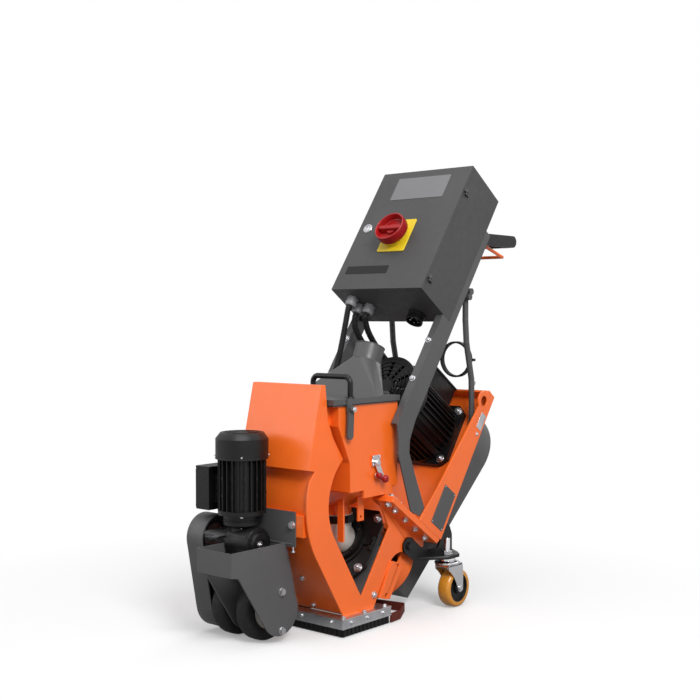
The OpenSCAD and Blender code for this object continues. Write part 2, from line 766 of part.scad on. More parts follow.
// The handle of the switch is a cup with a bar across its floor.
module switch_knob() {
    n = door_n + 16 + face_gap;
    color(red) tilt() {
        disc_n(knob_at, door_n - 20, n + 2, 6);
        difference() {
            disc_n(knob_at, n, n + 28, knob_r);
            disc_n(knob_at, n + 8, n + 29, knob_r - 6);
        }
        translate([knob_at[0] - knob_r + 4, knob_at[1] - 7, n + 7])
            cube([2 * knob_r - 8, 14, 17]);
    }
}
module door_lock() {
    color(zinc) tilt() {
        disc_n([-119, 666], door_n - 24, door_n + 1, 8);
        disc_n([-119, 666], door_n + face_gap, door_n + 5, 14);
        block([-146, 658, door_n - 24], [-111, 674, door_n - 20]);
    }
}
module cable_glands() {
    color(coal) tilt() for (p = [[-102, 395], [-102, 360], [-68, 359]]) {
        rod([p[0], box_s - 8, p[1]], [p[0], box_s, p[1]], 15);
        rod([p[0], box_s - 25, p[1]], [p[0], box_s - 8, p[1]], 12.5);
    }
}
module power_inlet() {
    color(coal) tilt() difference() {
        rod([inlet_at[0], box_s - 26, inlet_at[1]], [inlet_at[0], box_s, inlet_at[1]], 24);
        rod([inlet_at[0], box_s - 27, inlet_at[1]], [inlet_at[0], box_s - 6, inlet_at[1]], 20);
    }
}
drive_route = [rig_point([-102, box_s - 25.6, 395]), rig_point([-102, box_s - 32, 395]),
    rig_point([-102, box_s - 38.4, 395]),
    [-106, 190, 718], [-112, 176, 650], [-115, 154, 580], [-118, 147, 510], [-126, 146, 440],
    [-134, 143, 402], [-135.5, 132, 372], [-135.5, 104, 353], [-135.5, 40, 350],
    [-135.5, -40, 349], [-134, -110, 348], [-129, -160, 346.5], [-125.5, -190, 346],
    [-125, -206.7, 346]];
route_a = [[-102, box_s - 25.6, 360], [-102, box_s - 32, 360], [-102, box_s - 38.4, 360],
    [-104, 404, 342],
    [-106, 390, 290], [-106, 382, 220], [-105, 380, 150], [-99, 380, 96], [-84, 380, 73],
    [-66, 380, 70], [-50.5, 380, 70]];
route_c = [[-68, box_s - 25.6, 359], [-68, box_s - 32, 359], [-68, box_s - 38.4, 359],
    [-74, 406, 320], [-80, 396, 260],
    [-82, 390, 190], [-79, 384, 140], [-70, 381, 116], [-61, 380, 110], [-50.5, 380, 110]];
module cable_drive() { color(coal) tube(drive_route, 2, cable_r, 10); }
module cables_motor() {
    color(coal) tilt() tube(route_a, 2, cable_r, 10);
    color(coal) tilt() tube(route_c, 2, cable_r, 10);
}
module hose_ring() {
    color(coal) rig() {
        translate([ring_at[0], ring_at[1], ring_at[2]]) rotate([90, 0, 0]) difference() {
            cylinder(r = 49, h = 14, center = true);
            cylinder(r = 44, h = 15, center = true);
        }
        block([ring_at[0] + 46, ring_at[1] - 7, ring_at[2] - 4], [131, ring_at[1] + 7,
            ring_at[2] + 3]);
    }
}

// ---- Fasteners on the fixed frame ----
module fasteners() {
    color(zinc) {
        tilt() for (k = [-1, 1]) {
            for (n = [130, 156, 182, 208, 226]) translate([k * 136, flange_s + flange_t, n])
                rotate([-90, 0, 0]) bolt_head(8);
            for (n = [40, 90, 140, 190, 222]) translate([k * 134, flange_s - flange_t, n])
                rotate([90, 0, 0]) bolt_head(8);
            for (s = [-198, -63]) translate([k * 84, s, cover_n]) bolt_head(9);
            for (s = [-74, 74]) translate([k * 74, motor_s + s, 22]) bolt_head(10);
            for (s = [-100, -175]) translate([k * 40, s + 7, 22]) bolt_head(8);
            for (s = [265, 382]) translate([k * 137, s, bar_n_low - 0.5]) bolt_head(7);
        }
        tilt() rod([78, 410, 12], [78, 448, 12], 6);
        tilt() translate([78, 410, 12]) rotate([-90, 0, 0]) bolt_head(12);
        rig() for (k = [-1, 1]) for (y = [14, 92, 170]) translate([k * 122, y, base_top]) bolt_head(6);
    }
}

// ---- Front unit ----
module fork_outline() {
    polygon([[-280, 233], [-280, 178], [-257, 174], [-170, 44], [-122, 76], [-64, 76],
        [-103, 233]]);
    translate([-122, 76]) circle(r = 58);
}
module front_fork() {
    color([0.30, 0.30, 0.31]) rig() difference() {
        union() {
            along_x(fork_right - fork_t, fork_right) fork_outline();
            along_x(fork_left, fork_left + fork_t) fork_outline();
            block([fork_left, -280, 178], [fork_right, -277, 233]);
            block([fork_left, -106, 226], [78, pad_y - face_gap, 308]);
            block([fork_left, -106, 160], [fork_right, pad_y - face_gap, 230]);
        }
        disc_x(-300, 0, axle_at, axle_r + 2);
        disc_x(-300, fork_left + 10, output_at, 14);
        translate([drive_at[0], drive_at[1], 299.6]) cylinder(r = 60, h = 10);
    }
}
module front_bearings() {
    x = fork_right - fork_t;
    color(zinc) rig() difference() {
        union() {
            along_x(x - 10, x) bearing_outline();
            along_x(fork_left + fork_t, fork_left + fork_t + 10) bearing_outline();
            for (z = [29.3, 120.7]) translate([fork_right, -119.5, z]) rotate([0, 90, 0])
                bolt_head(9);
            translate([70, -106, 277]) rotate([90, 0, 0]) bolt_head(9);
        }
        disc_x(-100, x - 2, axle_at, axle_r + run_gap);
    }
}
module bearing_outline() {
    bar_outline([-120, 32], [-120, 118], 13);
    translate(axle_at) circle(r = 27);
}
module chain_guard() {
    color([0.42, 0.43, 0.44]) rig() difference() {
        union() {
            along_x(guard_left, guard_inner) belt_outline(output_at, 56, axle_at, 66);
            block([guard_inner - 6, -211, 250], [fork_left + fork_t, -109, 254]);
        }
        along_x(guard_left + 3, guard_inner + 1) belt_outline(output_at, 53, axle_at, 63);
    }
    color([0.42, 0.43, 0.44]) rig() block([guard_inner - 9, -211, 250], [guard_inner + 2, -109, 254]);
}
module gearbox() {
    color(coal) rig() difference() {
        union() {
            block([-62, -205, 186], [16, -118, 296]);
            disc_x(-62, 20, output_at, 40);
            translate([drive_at[0], drive_at[1], 286]) cylinder(r = 52, h = 14);
        }
        disc_x(-63, -10, output_at, 11 + run_gap);
        translate([drive_at[0], drive_at[1], 255]) cylinder(r = 8 + run_gap, h = 50);
    }
}
module drive_motor() {
    color(coal) rig() translate([drive_at[0], drive_at[1], 0]) difference() {
        union() {
            translate([0, 0, 300]) cylinder(r = 56.6, h = 10);
            translate([0, 0, 308]) cylinder(r = 47, h = 124);
            for (i = [0 : 23]) rotate([0, 0, 7.5 + i * 15]) block([43, -1.2, 308], [57, 1.2, 430]);
            translate([0, 0, 429]) cylinder(r = drive_r, h = 47);
            translate([0, 0, 476]) cylinder(r1 = drive_r, r2 = drive_r - 11, h = 14);
        }
        translate([0, 0, 316]) cylinder(r = 38, h = 108);
        translate([0, 0, 436]) cylinder(r = drive_r - 3, h = 38);
        translate([0, 0, 472]) cylinder(r1 = drive_r - 3, r2 = drive_r - 14, h = 14);
        translate([0, 0, 290]) cylinder(r = 8 + run_gap, h = 150);
        for (i = [0 : 11]) rotate([0, 0, i * 30]) block([16, -3.5, 480], [drive_r - 18, 3.5, 491]);
    }
}
module drive_terminal_box() {
    color(coal) rig() difference() {
        union() {
            block([-150, -205, 305], [-106, -115, 403]);
            block([-107, -186, 322], [-90, -134, 388]);
        }
        translate([drive_at[0], drive_at[1], 300]) cylinder(r = 59.2, h = 140);
    }
}
module drive_rotor() {
    color(zinc) rig() translate([drive_at[0], drive_at[1], 0]) {
        translate([0, 0, 258]) cylinder(r = 8, h = 202);
        translate([0, 0, 320]) cylinder(r = 34, h = 98);
        translate([0, 0, 440]) cylinder(r = 48, h = 12);
    }
}
module output_sprocket() {
    color(zinc) rig() {
        disc_x(-152, -14, output_at, 11);
        disc_x(chain_x - 3, chain_x + 3, output_at, 24);
    }
}
module drive_chain() {
    color(slate) rig() along_x(chain_x - chain_w / 2, chain_x + chain_w / 2) difference() {
        belt_outline(output_at, 31 + face_gap, axle_at, 39 + face_gap);
        belt_outline(output_at, 24 + face_gap, axle_at, 32 + face_gap);
    }
}
module front_axle() {
    color(zinc) rig() {
        disc_x(-160, fork_right - fork_t - 2.5, axle_at, axle_r);
        disc_x(chain_x - 3, chain_x + 3, axle_at, 32);
        for (x = [-70.5, 12]) disc_x(x, x + 3, axle_at, 22);
    }
}
module front_tyres() {
    color(coal) rig() difference() {
        for (x = [-93, -11]) translate([x, axle_at[0], axle_at[1]]) rotate([0, 90, 0]) {
            rotate_extrude() polygon([[20, -tyre_w / 2], [tyre_r - 6, -tyre_w / 2],
                [tyre_r, -tyre_w / 2 + 6], [tyre_r, tyre_w / 2 - 6], [tyre_r - 6, tyre_w / 2],
                [20, tyre_w / 2]]);
            cylinder(r = 22, h = tyre_w, center = true);
        }
        disc_x(-200, 100, axle_at, axle_r + run_gap);
    }
}

// ---- Casters ----
module caster_carrier() {
    x0 = plate_x + face_gap;
    rig() difference() {
        union() {
            along_x(x0, x0 + 6) union() {
                translate(pivot_at) circle(r = 23);
                polygon([[262, 158], [300, carrier_z], [462, carrier_z], [462, carrier_z + 48],
                    [452, carrier_z + 70], [438, carrier_z + 78], [428, carrier_z + 66],
                    [400, carrier_z + 20], [340, carrier_z + 22], [291, 193]]);
            }
            translate([0, 0, carrier_z]) linear_extrude(carrier_t) polygon([[x0, 300], [172, 376],
                [172, 420], [152, 440], [x0 + 6, 462], [x0, 462]]);
            disc_x(inner_x - 8, x0 + 10, pivot_at, 6);
            disc_x(inner_x - 8, inner_x - face_gap, pivot_at, 10);
            disc_x(x0 + 5, x0 + 12, pivot_at, 10);
        }
        rod([stem_at[0], stem_at[1], carrier_z - 1], [stem_at[0], stem_at[1], carrier_z + 9],
            stem_r + run_gap);
    }
}
module caster_carrier_right() { color(slate) caster_carrier(); }
module caster_carrier_left() { color(slate) mirror([1, 0, 0]) caster_carrier(); }
module at_caster() { rig() translate([stem_at[0], stem_at[1], 0]) rotate([0, 0, caster_turn]) children(); }
module caster_fork() {
    top = carrier_z - face_gap;
    w = caster_w / 2 + 1.5;
    at_caster() {
        rod([0, 0, top - 20], [0, 0, 184], stem_r);
        rod([0, 0, top - 9], [0, 0, top], 22);
        rod([0, 0, top - 17], [0, 0, top - 8.5], 33);
        rod([0, 0, carrier_z + carrier_t + face_gap], [0, 0, carrier_z + carrier_t + 10], 13);
        difference() {
            block([-w - 3, -22, 102], [w + 3, 40, top - 14]);
            block([-w, -23, 101], [w, 41, 110]);
        }
        for (k = [0, 1]) mirror([k, 0, 0]) along_x(w, w + 3) polygon([[-22, 106], [40, 106],
            [trail + 11, 44], [trail + 6, 39], [trail - 6, 39], [trail - 11, 44]]);
        disc_x(-w - 6, w + 6, [trail, caster_r], 5);
    }
}
module caster_fork_right() { color(zinc) caster_fork(); }
module caster_fork_left() { color(zinc) mirror([1, 0, 0]) caster_fork(); }
module caster_wheel() {
    w = caster_w / 2;
    at_caster() translate([0, trail, caster_r]) rotate([0, 90, 0]) difference() {
        rotate_extrude() polygon([[0, -w - 1], [14, -w - 1], [14, -w + 5], [36, -w + 5], [36, -w],
            [caster_r - 4, -w], [caster_r, -w + 4], [caster_r, w - 4], [caster_r - 4, w],
            [36, w], [36, w - 5], [14, w - 5], [14, w + 1], [0, w + 1]]);
        cylinder(r = 5 + run_gap, h = 99, center = true);
    }
}
module caster_wheel_right() { color(amber) caster_wheel(); }
module caster_wheel_left() { color(amber) mirror([1, 0, 0]) caster_wheel(); }

base_frame();
floor_seal();
rear_skirt();
side_plate_right();
side_plate_left();
rebound_duct();
duct_cover();
hopper();
hopper_funnel();
feed_spout();
wheel_housing();
wheel_cover();
blast_wheel();
bearing_bracket();
bearing_unit();
arm();
arm_gusset_right();
arm_gusset_left();
motor_body();
motor_cowl();
motor_terminal_box();
motor_rotor();
belt_guard();
drive_belt();
frame_bar_right();
frame_bar_left();
support_struts();
handlebar();
bail();
control_box();
box_internals();
door();
door_plates();
switch_knob();
door_lock();
cable_glands();
cable_drive();
cables_motor();
power_inlet();
hose_ring();
fasteners();
lid();
lid_handle();
dust_spigot();
lid_latch();
valve_lever();
front_fork();
front_bearings();
chain_guard();
drive_motor();
gearbox();
drive_terminal_box();
drive_rotor();
output_sprocket();
drive_chain();
front_axle();
front_tyres();
caster_carrier_right();
caster_carrier_left();
caster_fork_right();
caster_fork_left();
caster_wheel_right();
caster_wheel_left();
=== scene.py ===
"""Looks for the walk-behind shot-blasting machine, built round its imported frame. Metres, +Z up."""
import itertools
import json
import math

import bmesh
import bpy
from mathutils import Matrix, Vector

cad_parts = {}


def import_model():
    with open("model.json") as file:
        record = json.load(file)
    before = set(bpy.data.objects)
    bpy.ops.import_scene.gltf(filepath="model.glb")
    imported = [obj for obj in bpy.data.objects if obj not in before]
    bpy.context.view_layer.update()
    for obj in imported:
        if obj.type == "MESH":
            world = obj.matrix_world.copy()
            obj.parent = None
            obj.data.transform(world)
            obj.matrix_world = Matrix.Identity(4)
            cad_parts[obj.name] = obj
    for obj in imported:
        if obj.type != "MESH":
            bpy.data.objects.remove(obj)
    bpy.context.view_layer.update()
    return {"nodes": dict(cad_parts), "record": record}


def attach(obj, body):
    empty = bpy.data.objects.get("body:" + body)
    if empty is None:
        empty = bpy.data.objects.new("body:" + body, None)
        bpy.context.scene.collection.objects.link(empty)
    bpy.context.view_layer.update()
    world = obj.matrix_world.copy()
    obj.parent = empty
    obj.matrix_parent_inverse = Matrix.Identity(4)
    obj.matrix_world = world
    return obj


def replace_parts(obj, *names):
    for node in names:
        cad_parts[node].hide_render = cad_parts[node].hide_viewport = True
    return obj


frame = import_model()
NODES = frame["nodes"]
scene = bpy.context.scene

# ---------------------------------------------------------------- camera, as solved from the photo
CAMERA_TURN, CAMERA_DIP = 40.32, 1.66
cam = bpy.data.objects.new("camera", bpy.data.cameras.new("camera"))
scene.collection.objects.link(cam)
cam.location = (1.900, -2.149, 0.760)
cam.rotation_euler = (math.radians(90 - CAMERA_DIP), 0, math.radians(CAMERA_TURN))
cam.data.lens = 59.66
cam.data.sensor_width = 36
cam.data.clip_end = 50
scene.camera = cam
scene.view_settings.view_transform = "Standard"

# The arm leans by LEAN about (ARM_Y, ARM_Z), and the origin is BASE_MID behind the base's front edge.
LEAN, ARM_Y, ARM_Z, BASE_MID = math.radians(35), 374, 203, 92
S, C = math.sin(LEAN), math.cos(LEAN)


def rig(x, y, z):
    """Side-view millimetres (y from the base's front edge) to the frame's metres."""
    return Vector((x / 1000, (y - BASE_MID) / 1000, z / 1000))


def arm(x, s, n):
    """Millimetres along the leaning arm to the frame's metres."""
    return Vector((x, ARM_Y + s * S - n * C - BASE_MID, ARM_Z + s * C + n * S)) / 1000


EX, ES, EN = Vector((1, 0, 0)), Vector((0, S, C)), Vector((0, -C, S))
EY, EZ = Vector((0, 1, 0)), Vector((0, 0, 1))


# ---------------------------------------------------------------- materials
def srgb(*rgb):
    """A display colour as the linear value that the shaders take."""
    return (*(v / 12.92 if v <= 0.04045 else ((v + 0.055) / 1.055) ** 2.4 for v in rgb), 1)


class Graph:
    def __init__(self, name):
        self.mat = bpy.data.materials.new(name)
        self.mat.use_nodes = True
        self.tree = self.mat.node_tree
        self.tree.nodes.clear()
        self.out = self.add("ShaderNodeOutputMaterial")
        self.bsdf = self.add("ShaderNodeBsdfPrincipled")
        self.link(self.bsdf.outputs[0], self.out.inputs[0])
        self.coord = self.add("ShaderNodeTexCoord").outputs["Object"]

    def add(self, kind, **kw):
        n = self.tree.nodes.new(kind)
        for k, v in kw.items():
            setattr(n, k, v)
        return n

    def link(self, a, b):
        self.tree.links.new(a, b)

    def noise(self, scale, detail=4, rough=0.55, stretch=None):
        n = self.add("ShaderNodeTexNoise")
        n.inputs["Scale"].default_value = scale
        n.inputs["Detail"].default_value = detail
        n.inputs["Roughness"].default_value = rough
        if stretch:
            m = self.add("ShaderNodeMapping")
            m.inputs["Scale"].default_value = stretch
            self.link(self.coord, m.inputs["Vector"])
            self.link(m.outputs[0], n.inputs["Vector"])
        else:
            self.link(self.coord, n.inputs["Vector"])
        return n.outputs["Fac"]

    def ramp(self, fac, stops):
        r = self.add("ShaderNodeValToRGB")
        while len(r.color_ramp.elements) < len(stops):
            r.color_ramp.elements.new(0.5)
        for e, (p, c) in zip(r.color_ramp.elements, stops):
            e.position = p
            e.color = c if len(c) == 4 else (*c, 1)
        self.link(fac, r.inputs[0])
        return r.outputs[0]

    def range(self, fac, a, b, lo, hi):
        m = self.add("ShaderNodeMapRange")
        for i, v in enumerate((a, b, lo, hi)):
            m.inputs[i + 1].default_value = v
        self.link(fac, m.inputs[0])
        return m.outputs[0]

    def mix(self, fac, a, b, blend="MIX"):
        m = self.add("ShaderNodeMix", data_type="RGBA", blend_type=blend)
        for sock, v in ((m.inputs[0], fac), (m.inputs[6], a), (m.inputs[7], b)):
            if hasattr(v, "links"):
                self.link(v, sock)
            else:
                sock.default_value = v
        return m.outputs[2]

    def bump(self, height, distance, strength=1.0, normal=None):
        b = self.add("ShaderNodeBump")
        b.inputs["Strength"].default_value = strength
        b.inputs["Distance"].default_value = distance
        self.link(height, b.inputs["Height"])
        if normal is not None:
            self.link(normal, b.inputs["Normal"])
        return b.outputs[0]

    def use(self, color=None, rough=None, normal=None, metal=0.0, **sockets):
        for sock, v in (("Base Color", color), ("Roughness", rough), ("Normal", normal)):
            if v is None:
                continue
            if hasattr(v, "links"):
                self.link(v, self.bsdf.inputs[sock])
            else:
                self.bsdf.inputs[sock].default_value = v
        self.bsdf.inputs["Metallic"].default_value = metal
        for k, v in sockets.items():
            self.bsdf.inputs[k.replace("_", " ")].default_value = v
        return self.mat


def scaled(c, k):
    return (min(c[0] * k, 1), min(c[1] * k, 1), min(c[2] * k, 1), 1)


def paint(name, color, rough=0.35, spread=0.10, orange_peel=0.00012, coat=0.25, dust=0.12, spec=0.5):
    """Sprayed enamel: faint cloudiness, orange peel, dust that breaks the gloss."""
    g = Graph(name)
    cloud = g.noise(7, 5)
    col = g.ramp(cloud, [(0.30, scaled(color, 1 - spread)), (0.72, scaled(color, 1 + spread * 0.6))])
    grime = g.ramp(g.noise(38, 8, 0.7), [(0.55, (0, 0, 0)), (0.80, (dust, dust, dust))])
    col = g.mix(grime, col, scaled(color, 0.55))
    r = g.range(g.noise(55, 6, 0.65), 0.3, 0.75, rough - 0.07, rough + 0.12)
    n = g.bump(g.noise(520, 2), orange_peel, 0.8)
    n = g.bump(g.noise(24, 3), 0.0003, 0.5, n)
    return g.use(col, r, n, Coat_Weight=coat, Coat_Roughness=0.18, Specular_IOR_Level=spec)


def metal(name, color, rough=0.32, brushed=None, spots=0.15, polish=False):
    g = Graph(name)
    tone = g.noise(26, 6, 0.6, brushed)
    col = g.ramp(tone, [(0.25, scaled(color, 1 - spots)), (0.75, scaled(color, 1 + spots * 0.6))])
    r = g.range(g.noise(90, 5, 0.6, brushed), 0.3, 0.75, rough - 0.08, rough + 0.14)
    n = g.bump(g.noise(160 if not polish else 40, 4, 0.5, brushed), 0.00006, 0.7)
    return g.use(col, r, n, 1.0)


def rubber(name, color, rough=0.62, grain=0.00025, scuff=0.5, scale=300):
    g = Graph(name)
    wear = g.ramp(g.noise(30, 8, 0.72), [(0.48, (0, 0, 0)), (0.78, (scuff, scuff, scuff))])
    col = g.mix(wear, color, scaled(color, 2.1))
    r = g.range(g.noise(70, 5), 0.3, 0.75, rough - 0.08, rough + 0.16)
    n = g.bump(g.noise(scale, 4, 0.6), grain, 0.7)
    return g.use(col, r, n, Specular_IOR_Level=0.3)


def plastic(name, color, rough=0.38, spread=0.06, grain=0.00008, coat=0.0, **sockets):
    g = Graph(name)
    col = g.ramp(g.noise(12, 4), [(0.3, scaled(color, 1 - spread)), (0.75, scaled(color, 1 + spread))])
    r = g.range(g.noise(85, 5), 0.3, 0.75, rough - 0.06, rough + 0.10)
    n = g.bump(g.noise(700, 2), grain, 0.7)
    return g.use(col, r, n, Coat_Weight=coat, **sockets)


def casting(name, color, rough=0.55):
    """Painted cast housing: sandy skin under a thin satin coat."""
    g = Graph(name)
    col = g.ramp(g.noise(18, 6, 0.6), [(0.3, scaled(color, 0.8)), (0.8, scaled(color, 1.35))])
    r = g.range(g.noise(60, 6), 0.3, 0.75, rough - 0.12, rough + 0.14)
    n = g.bump(g.noise(230, 6, 0.62), 0.00045, 0.8)
    return g.use(col, r, n, Coat_Weight=0.04, Specular_IOR_Level=0.28)


M = {
    "orange": paint("orange_enamel", srgb(0.985, 0.432, 0.125), 0.34, spread=0.07, coat=0.25),
    "charcoal": paint("charcoal_enamel", srgb(0.302, 0.302, 0.306), 0.40, coat=0.10, spec=0.38),
    "black_paint": paint("black_enamel", srgb(0.075, 0.075, 0.078), 0.34, coat=0.06, spec=0.28),
    "grey_paint": paint("grey_enamel", srgb(0.330, 0.330, 0.335), 0.45, coat=0.06, spec=0.35),
    "box_grey": paint("box_enamel", srgb(0.262, 0.262, 0.265), 0.50, orange_peel=0.00022, coat=0.03,
        spec=0.35),
    "silver": metal("zinc_sheet", (0.56, 0.57, 0.59, 1), 0.36, spots=0.22),
    "steel": metal("turned_steel", (0.58, 0.58, 0.60, 1), 0.30),
    "chrome": metal("chromed_steel", (0.72, 0.72, 0.74, 1), 0.13, polish=True, spots=0.08),
    "cast": casting("motor_cast", srgb(0.062, 0.062, 0.065), 0.42),
    "rubber": rubber("black_rubber", srgb(0.05, 0.05, 0.052)),
    "tyre": rubber("tyre_rubber", srgb(0.115, 0.112, 0.11), 0.66, 0.0005, 0.7, 190),
    "red_rubber": rubber("red_rubber", srgb(0.36, 0.13, 0.09)),
    "amber": plastic("amber_urethane", srgb(0.84, 0.56, 0.17), 0.28, 0.12, coat=0.3),
    "white_plastic": plastic("white_hose", srgb(0.80, 0.79, 0.76), 0.45),
    "black_plastic": plastic("black_moulding", srgb(0.06, 0.06, 0.062), 0.42, Specular_IOR_Level=0.3),
    "red_plastic": plastic("red_moulding", srgb(0.60, 0.065, 0.075), 0.34, coat=0.1,
        Specular_IOR_Level=0.35),
    "yellow": plastic("yellow_moulding", srgb(0.86, 0.75, 0.13), 0.40),
}
GREY_CAP = plastic("grey_moulding", srgb(0.52, 0.52, 0.53), 0.45)
TWO_TONE = paint("label_film", srgb(0.43, 0.43, 0.44), 0.42, 0.05, coat=0.1)
slots = {p["node"]: p["material_slot"] for p in frame["record"]["subparts"]}
for name, o in NODES.items():
    o.data.materials.clear()
    o.data.materials.append(M[slots[name]])


# ---------------------------------------------------------------- mesh helpers
def obj(name, bm, mat, body, smooth=30, bevel=0.0, seg=2):
    me = bpy.data.meshes.new(name)
    bmesh.ops.recalc_face_normals(bm, faces=bm.faces)
    bm.to_mesh(me)
    bm.free()
    o = bpy.data.objects.new(name, me)
    scene.collection.objects.link(o)
    me.materials.append(M[mat] if isinstance(mat, str) else mat)
    if smooth:
        me.shade_smooth()
        me.set_sharp_from_angle(angle=math.radians(smooth))
    if bevel:
        m = o.modifiers.new("bevel", "BEVEL")
        m.width, m.segments, m.limit_method = bevel, seg, "ANGLE"
        m.angle_limit = math.radians(35)
        m.harden_normals = True
    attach(o, body)
    return o


def basis(z, x=None):
    z = z.normalized()
    x = (x or (EX if abs(z.x) < 0.9 else EY))
    x = (x - z * x.dot(z)).normalized()
    return Matrix((x, z.cross(x), z)).transposed()


def add_cyl(bm, p, axis, r0, r1, h, seg=32, x=None):
    m = Matrix.Translation(p + axis.normalized() * h / 2) @ basis(axis, x).to_4x4()
    bmesh.ops.create_cone(bm, cap_ends=True, segments=seg, radius1=r0, radius2=r1, depth=h, matrix=m)


def add_box(bm, centre, size, rot=None):
    m = Matrix.Translation(centre) @ (rot.to_4x4() if rot else Matrix.Identity(4))
    m = m @ Matrix.Diagonal((*size, 1))
    bmesh.ops.create_cube(bm, size=1, matrix=m)


def spread(x, y, n, start=0.0):
    """n directions round a full turn, from x towards y."""
    turns = [start + 2 * math.pi * i / n for i in range(n)]
    return [x * math.cos(a) + y * math.sin(a) for a in turns]


def loft(bm, rings):
    """A closed skin over rings of points, each with as many points as the next."""
    rings = [[bm.verts.new(p) for p in ring] for ring in rings]
    for a, b in zip(rings, rings[1:]):
        for i in range(len(a)):
            j = (i + 1) % len(a)
            bm.faces.new((a[i], a[j], b[j], b[i]))
    bm.faces.new(rings[0][::-1])
    bm.faces.new(rings[-1])


def lathe(bm, p, axis, profile, seg=48, x=None):
    """A turned form: profile is [(radius, height)] along the axis from p."""
    rot = basis(axis, x)
    rings = []
    for r, h in profile:
        if r < 1e-6:
            rings.append([bm.verts.new(p + rot @ Vector((0, 0, h)))])
        else:
            rings.append([bm.verts.new(p + rot @ Vector((r * math.cos(2 * math.pi * i / seg),
                r * math.sin(2 * math.pi * i / seg), h))) for i in range(seg)])
    for a, b in zip(rings, rings[1:]):
        for i in range(seg):
            j = (i + 1) % seg
            if len(a) == 1:
                bm.faces.new((a[0], b[i], b[j]))
            elif len(b) == 1:
                bm.faces.new((a[i], a[j], b[0]))
            else:
                bm.faces.new((a[i], a[j], b[j], b[i]))


def hex_bolt(bm, p, axis, d, washer=True, turn=0.0):
    """Hexagon head with washer face, chamfer and a stub of thread."""
    a = axis.normalized()
    if washer:
        lathe(bm, p, a, [(0, 0), (d * 1.12, 0), (d * 1.12, d * 0.14), (d * 1.05, d * 0.18),
            (0, d * 0.18)], 24)
    q = p + a * d * 0.18
    rot = basis(a) @ Matrix.Rotation(turn, 3, "Z")
    loft(bm, [[q + rot @ Vector((d * 0.93 * k * math.cos(math.pi / 3 * i),
        d * 0.93 * k * math.sin(math.pi / 3 * i), d * h)) for i in range(6)]
        for k, h in ((1.0, 0), (1.0, 0.52), (0.90, 0.62))])
    lathe(bm, q, a, [(0, d * 0.6), (d * 0.42, d * 0.6), (d * 0.42, d * 0.78), (d * 0.34, d * 0.84),
        (0, d * 0.84)], 16)


def tube_mesh(bm, pts, radius, seg=16, rib=0.0, pitch=0.0):
    """A tube along pts. rib raises rings round it every pitch metres, as on corrugated conduit."""
    if rib:
        d = [0.0]
        for a, b in zip(pts, pts[1:]):
            d.append(d[-1] + (b - a).length)
        n = int(d[-1] / (pitch / 4))
        out, k = [], 0
        for i in range(n + 1):
            t = d[-1] * i / n
            while k < len(d) - 2 and d[k + 1] < t:
                k += 1
            out.append(pts[k].lerp(pts[k + 1], (t - d[k]) / max(d[k + 1] - d[k], 1e-9)))
        pts = out
    u, rings = None, []
    for i, p in enumerate(pts):
        t = (pts[min(i + 1, len(pts) - 1)] - pts[max(i - 1, 0)]).normalized()
        u = (u or Vector((0.9, 0.1, 0.3)))
        u = (u - t * u.dot(t)).normalized()
        w = t.cross(u)
        r = radius - (rib if rib and i % 4 in (2, 3) else 0)
        rings.append([p + r * (math.cos(2 * math.pi * j / seg) * u + math.sin(2 * math.pi * j / seg) * w)
            for j in range(seg)])
    loft(bm, rings)


def smooth_route(p, n=10):
    out = []
    for k in range(len(p) - 1):
        a, b, c, d = p[max(k - 1, 0)], p[k], p[k + 1], p[min(k + 2, len(p) - 1)]
        for i in range(n):
            t = i / n
            out.append(0.5 * (2 * b + (c - a) * t + (2 * a - 5 * b + 4 * c - d) * t * t
                + (3 * b - a - 3 * c + d) * t ** 3))
    return out + [p[-1]]


def plate(name, centre, normal, up, w, h, t, mat, body, rivets=True, r=0.0015):
    """A bare plate w by h by t, with a rivet in each corner."""
    rot = Matrix((up.cross(normal), up, normal)).transposed()
    bm = bmesh.new()
    add_box(bm, centre + normal * t / 2, (w, h, t), rot)
    o = obj(name, bm, mat, body, 30, min(r, t * 0.45), 3)
    if rivets:
        bm = bmesh.new()
        for a in (-1, 1):
            for b in (-1, 1):
                p = centre + rot @ Vector((a * (w / 2 - 0.004), b * (h / 2 - 0.004), t))
                lathe(bm, p, normal, [(0, -0.0002), (0.0018, -0.0002), (0.0014, 0.0007), (0, 0.001)], 14)
        obj(name + "_rivets", bm, "steel", body, 50)
    return o


def bead(bm, a, b, r=0.0022, step=0.0038):
    """A weld bead of overlapping scales from a to b."""
    n = max(int((b - a).length / step), 2)
    d = (b - a).normalized()
    for i in range(n):
        p = a.lerp(b, (i + 0.5) / n)
        m = Matrix.Translation(p) @ basis(d).to_4x4() @ Matrix.Diagonal((r, r, r * 1.15, 1))
        bmesh.ops.create_uvsphere(bm, u_segments=8, v_segments=5, radius=1, matrix=m)


def flat_link(bm, x0, x1, pts_yz, r):
    """A link with round ends through side-view points, x0 to x1 thick (mm)."""
    for (y0, z0), (y1, z1) in zip(pts_yz, pts_yz[1:]):
        a, b = Vector((y0, z0)), Vector((y1, z1))
        d = (b - a).normalized()
        nrm = Vector((-d.y, d.x))
        ring = []
        for i in range(13):
            t = math.pi * i / 12
            ring.append(a - d * r * math.sin(t) + nrm * r * math.cos(t))
        for i in range(13):
            t = math.pi * i / 12
            ring.append(b + d * r * math.sin(t) - nrm * r * math.cos(t))
        loft(bm, [[rig(x, p.x, p.y) for p in ring] for x in (x0, x1)])


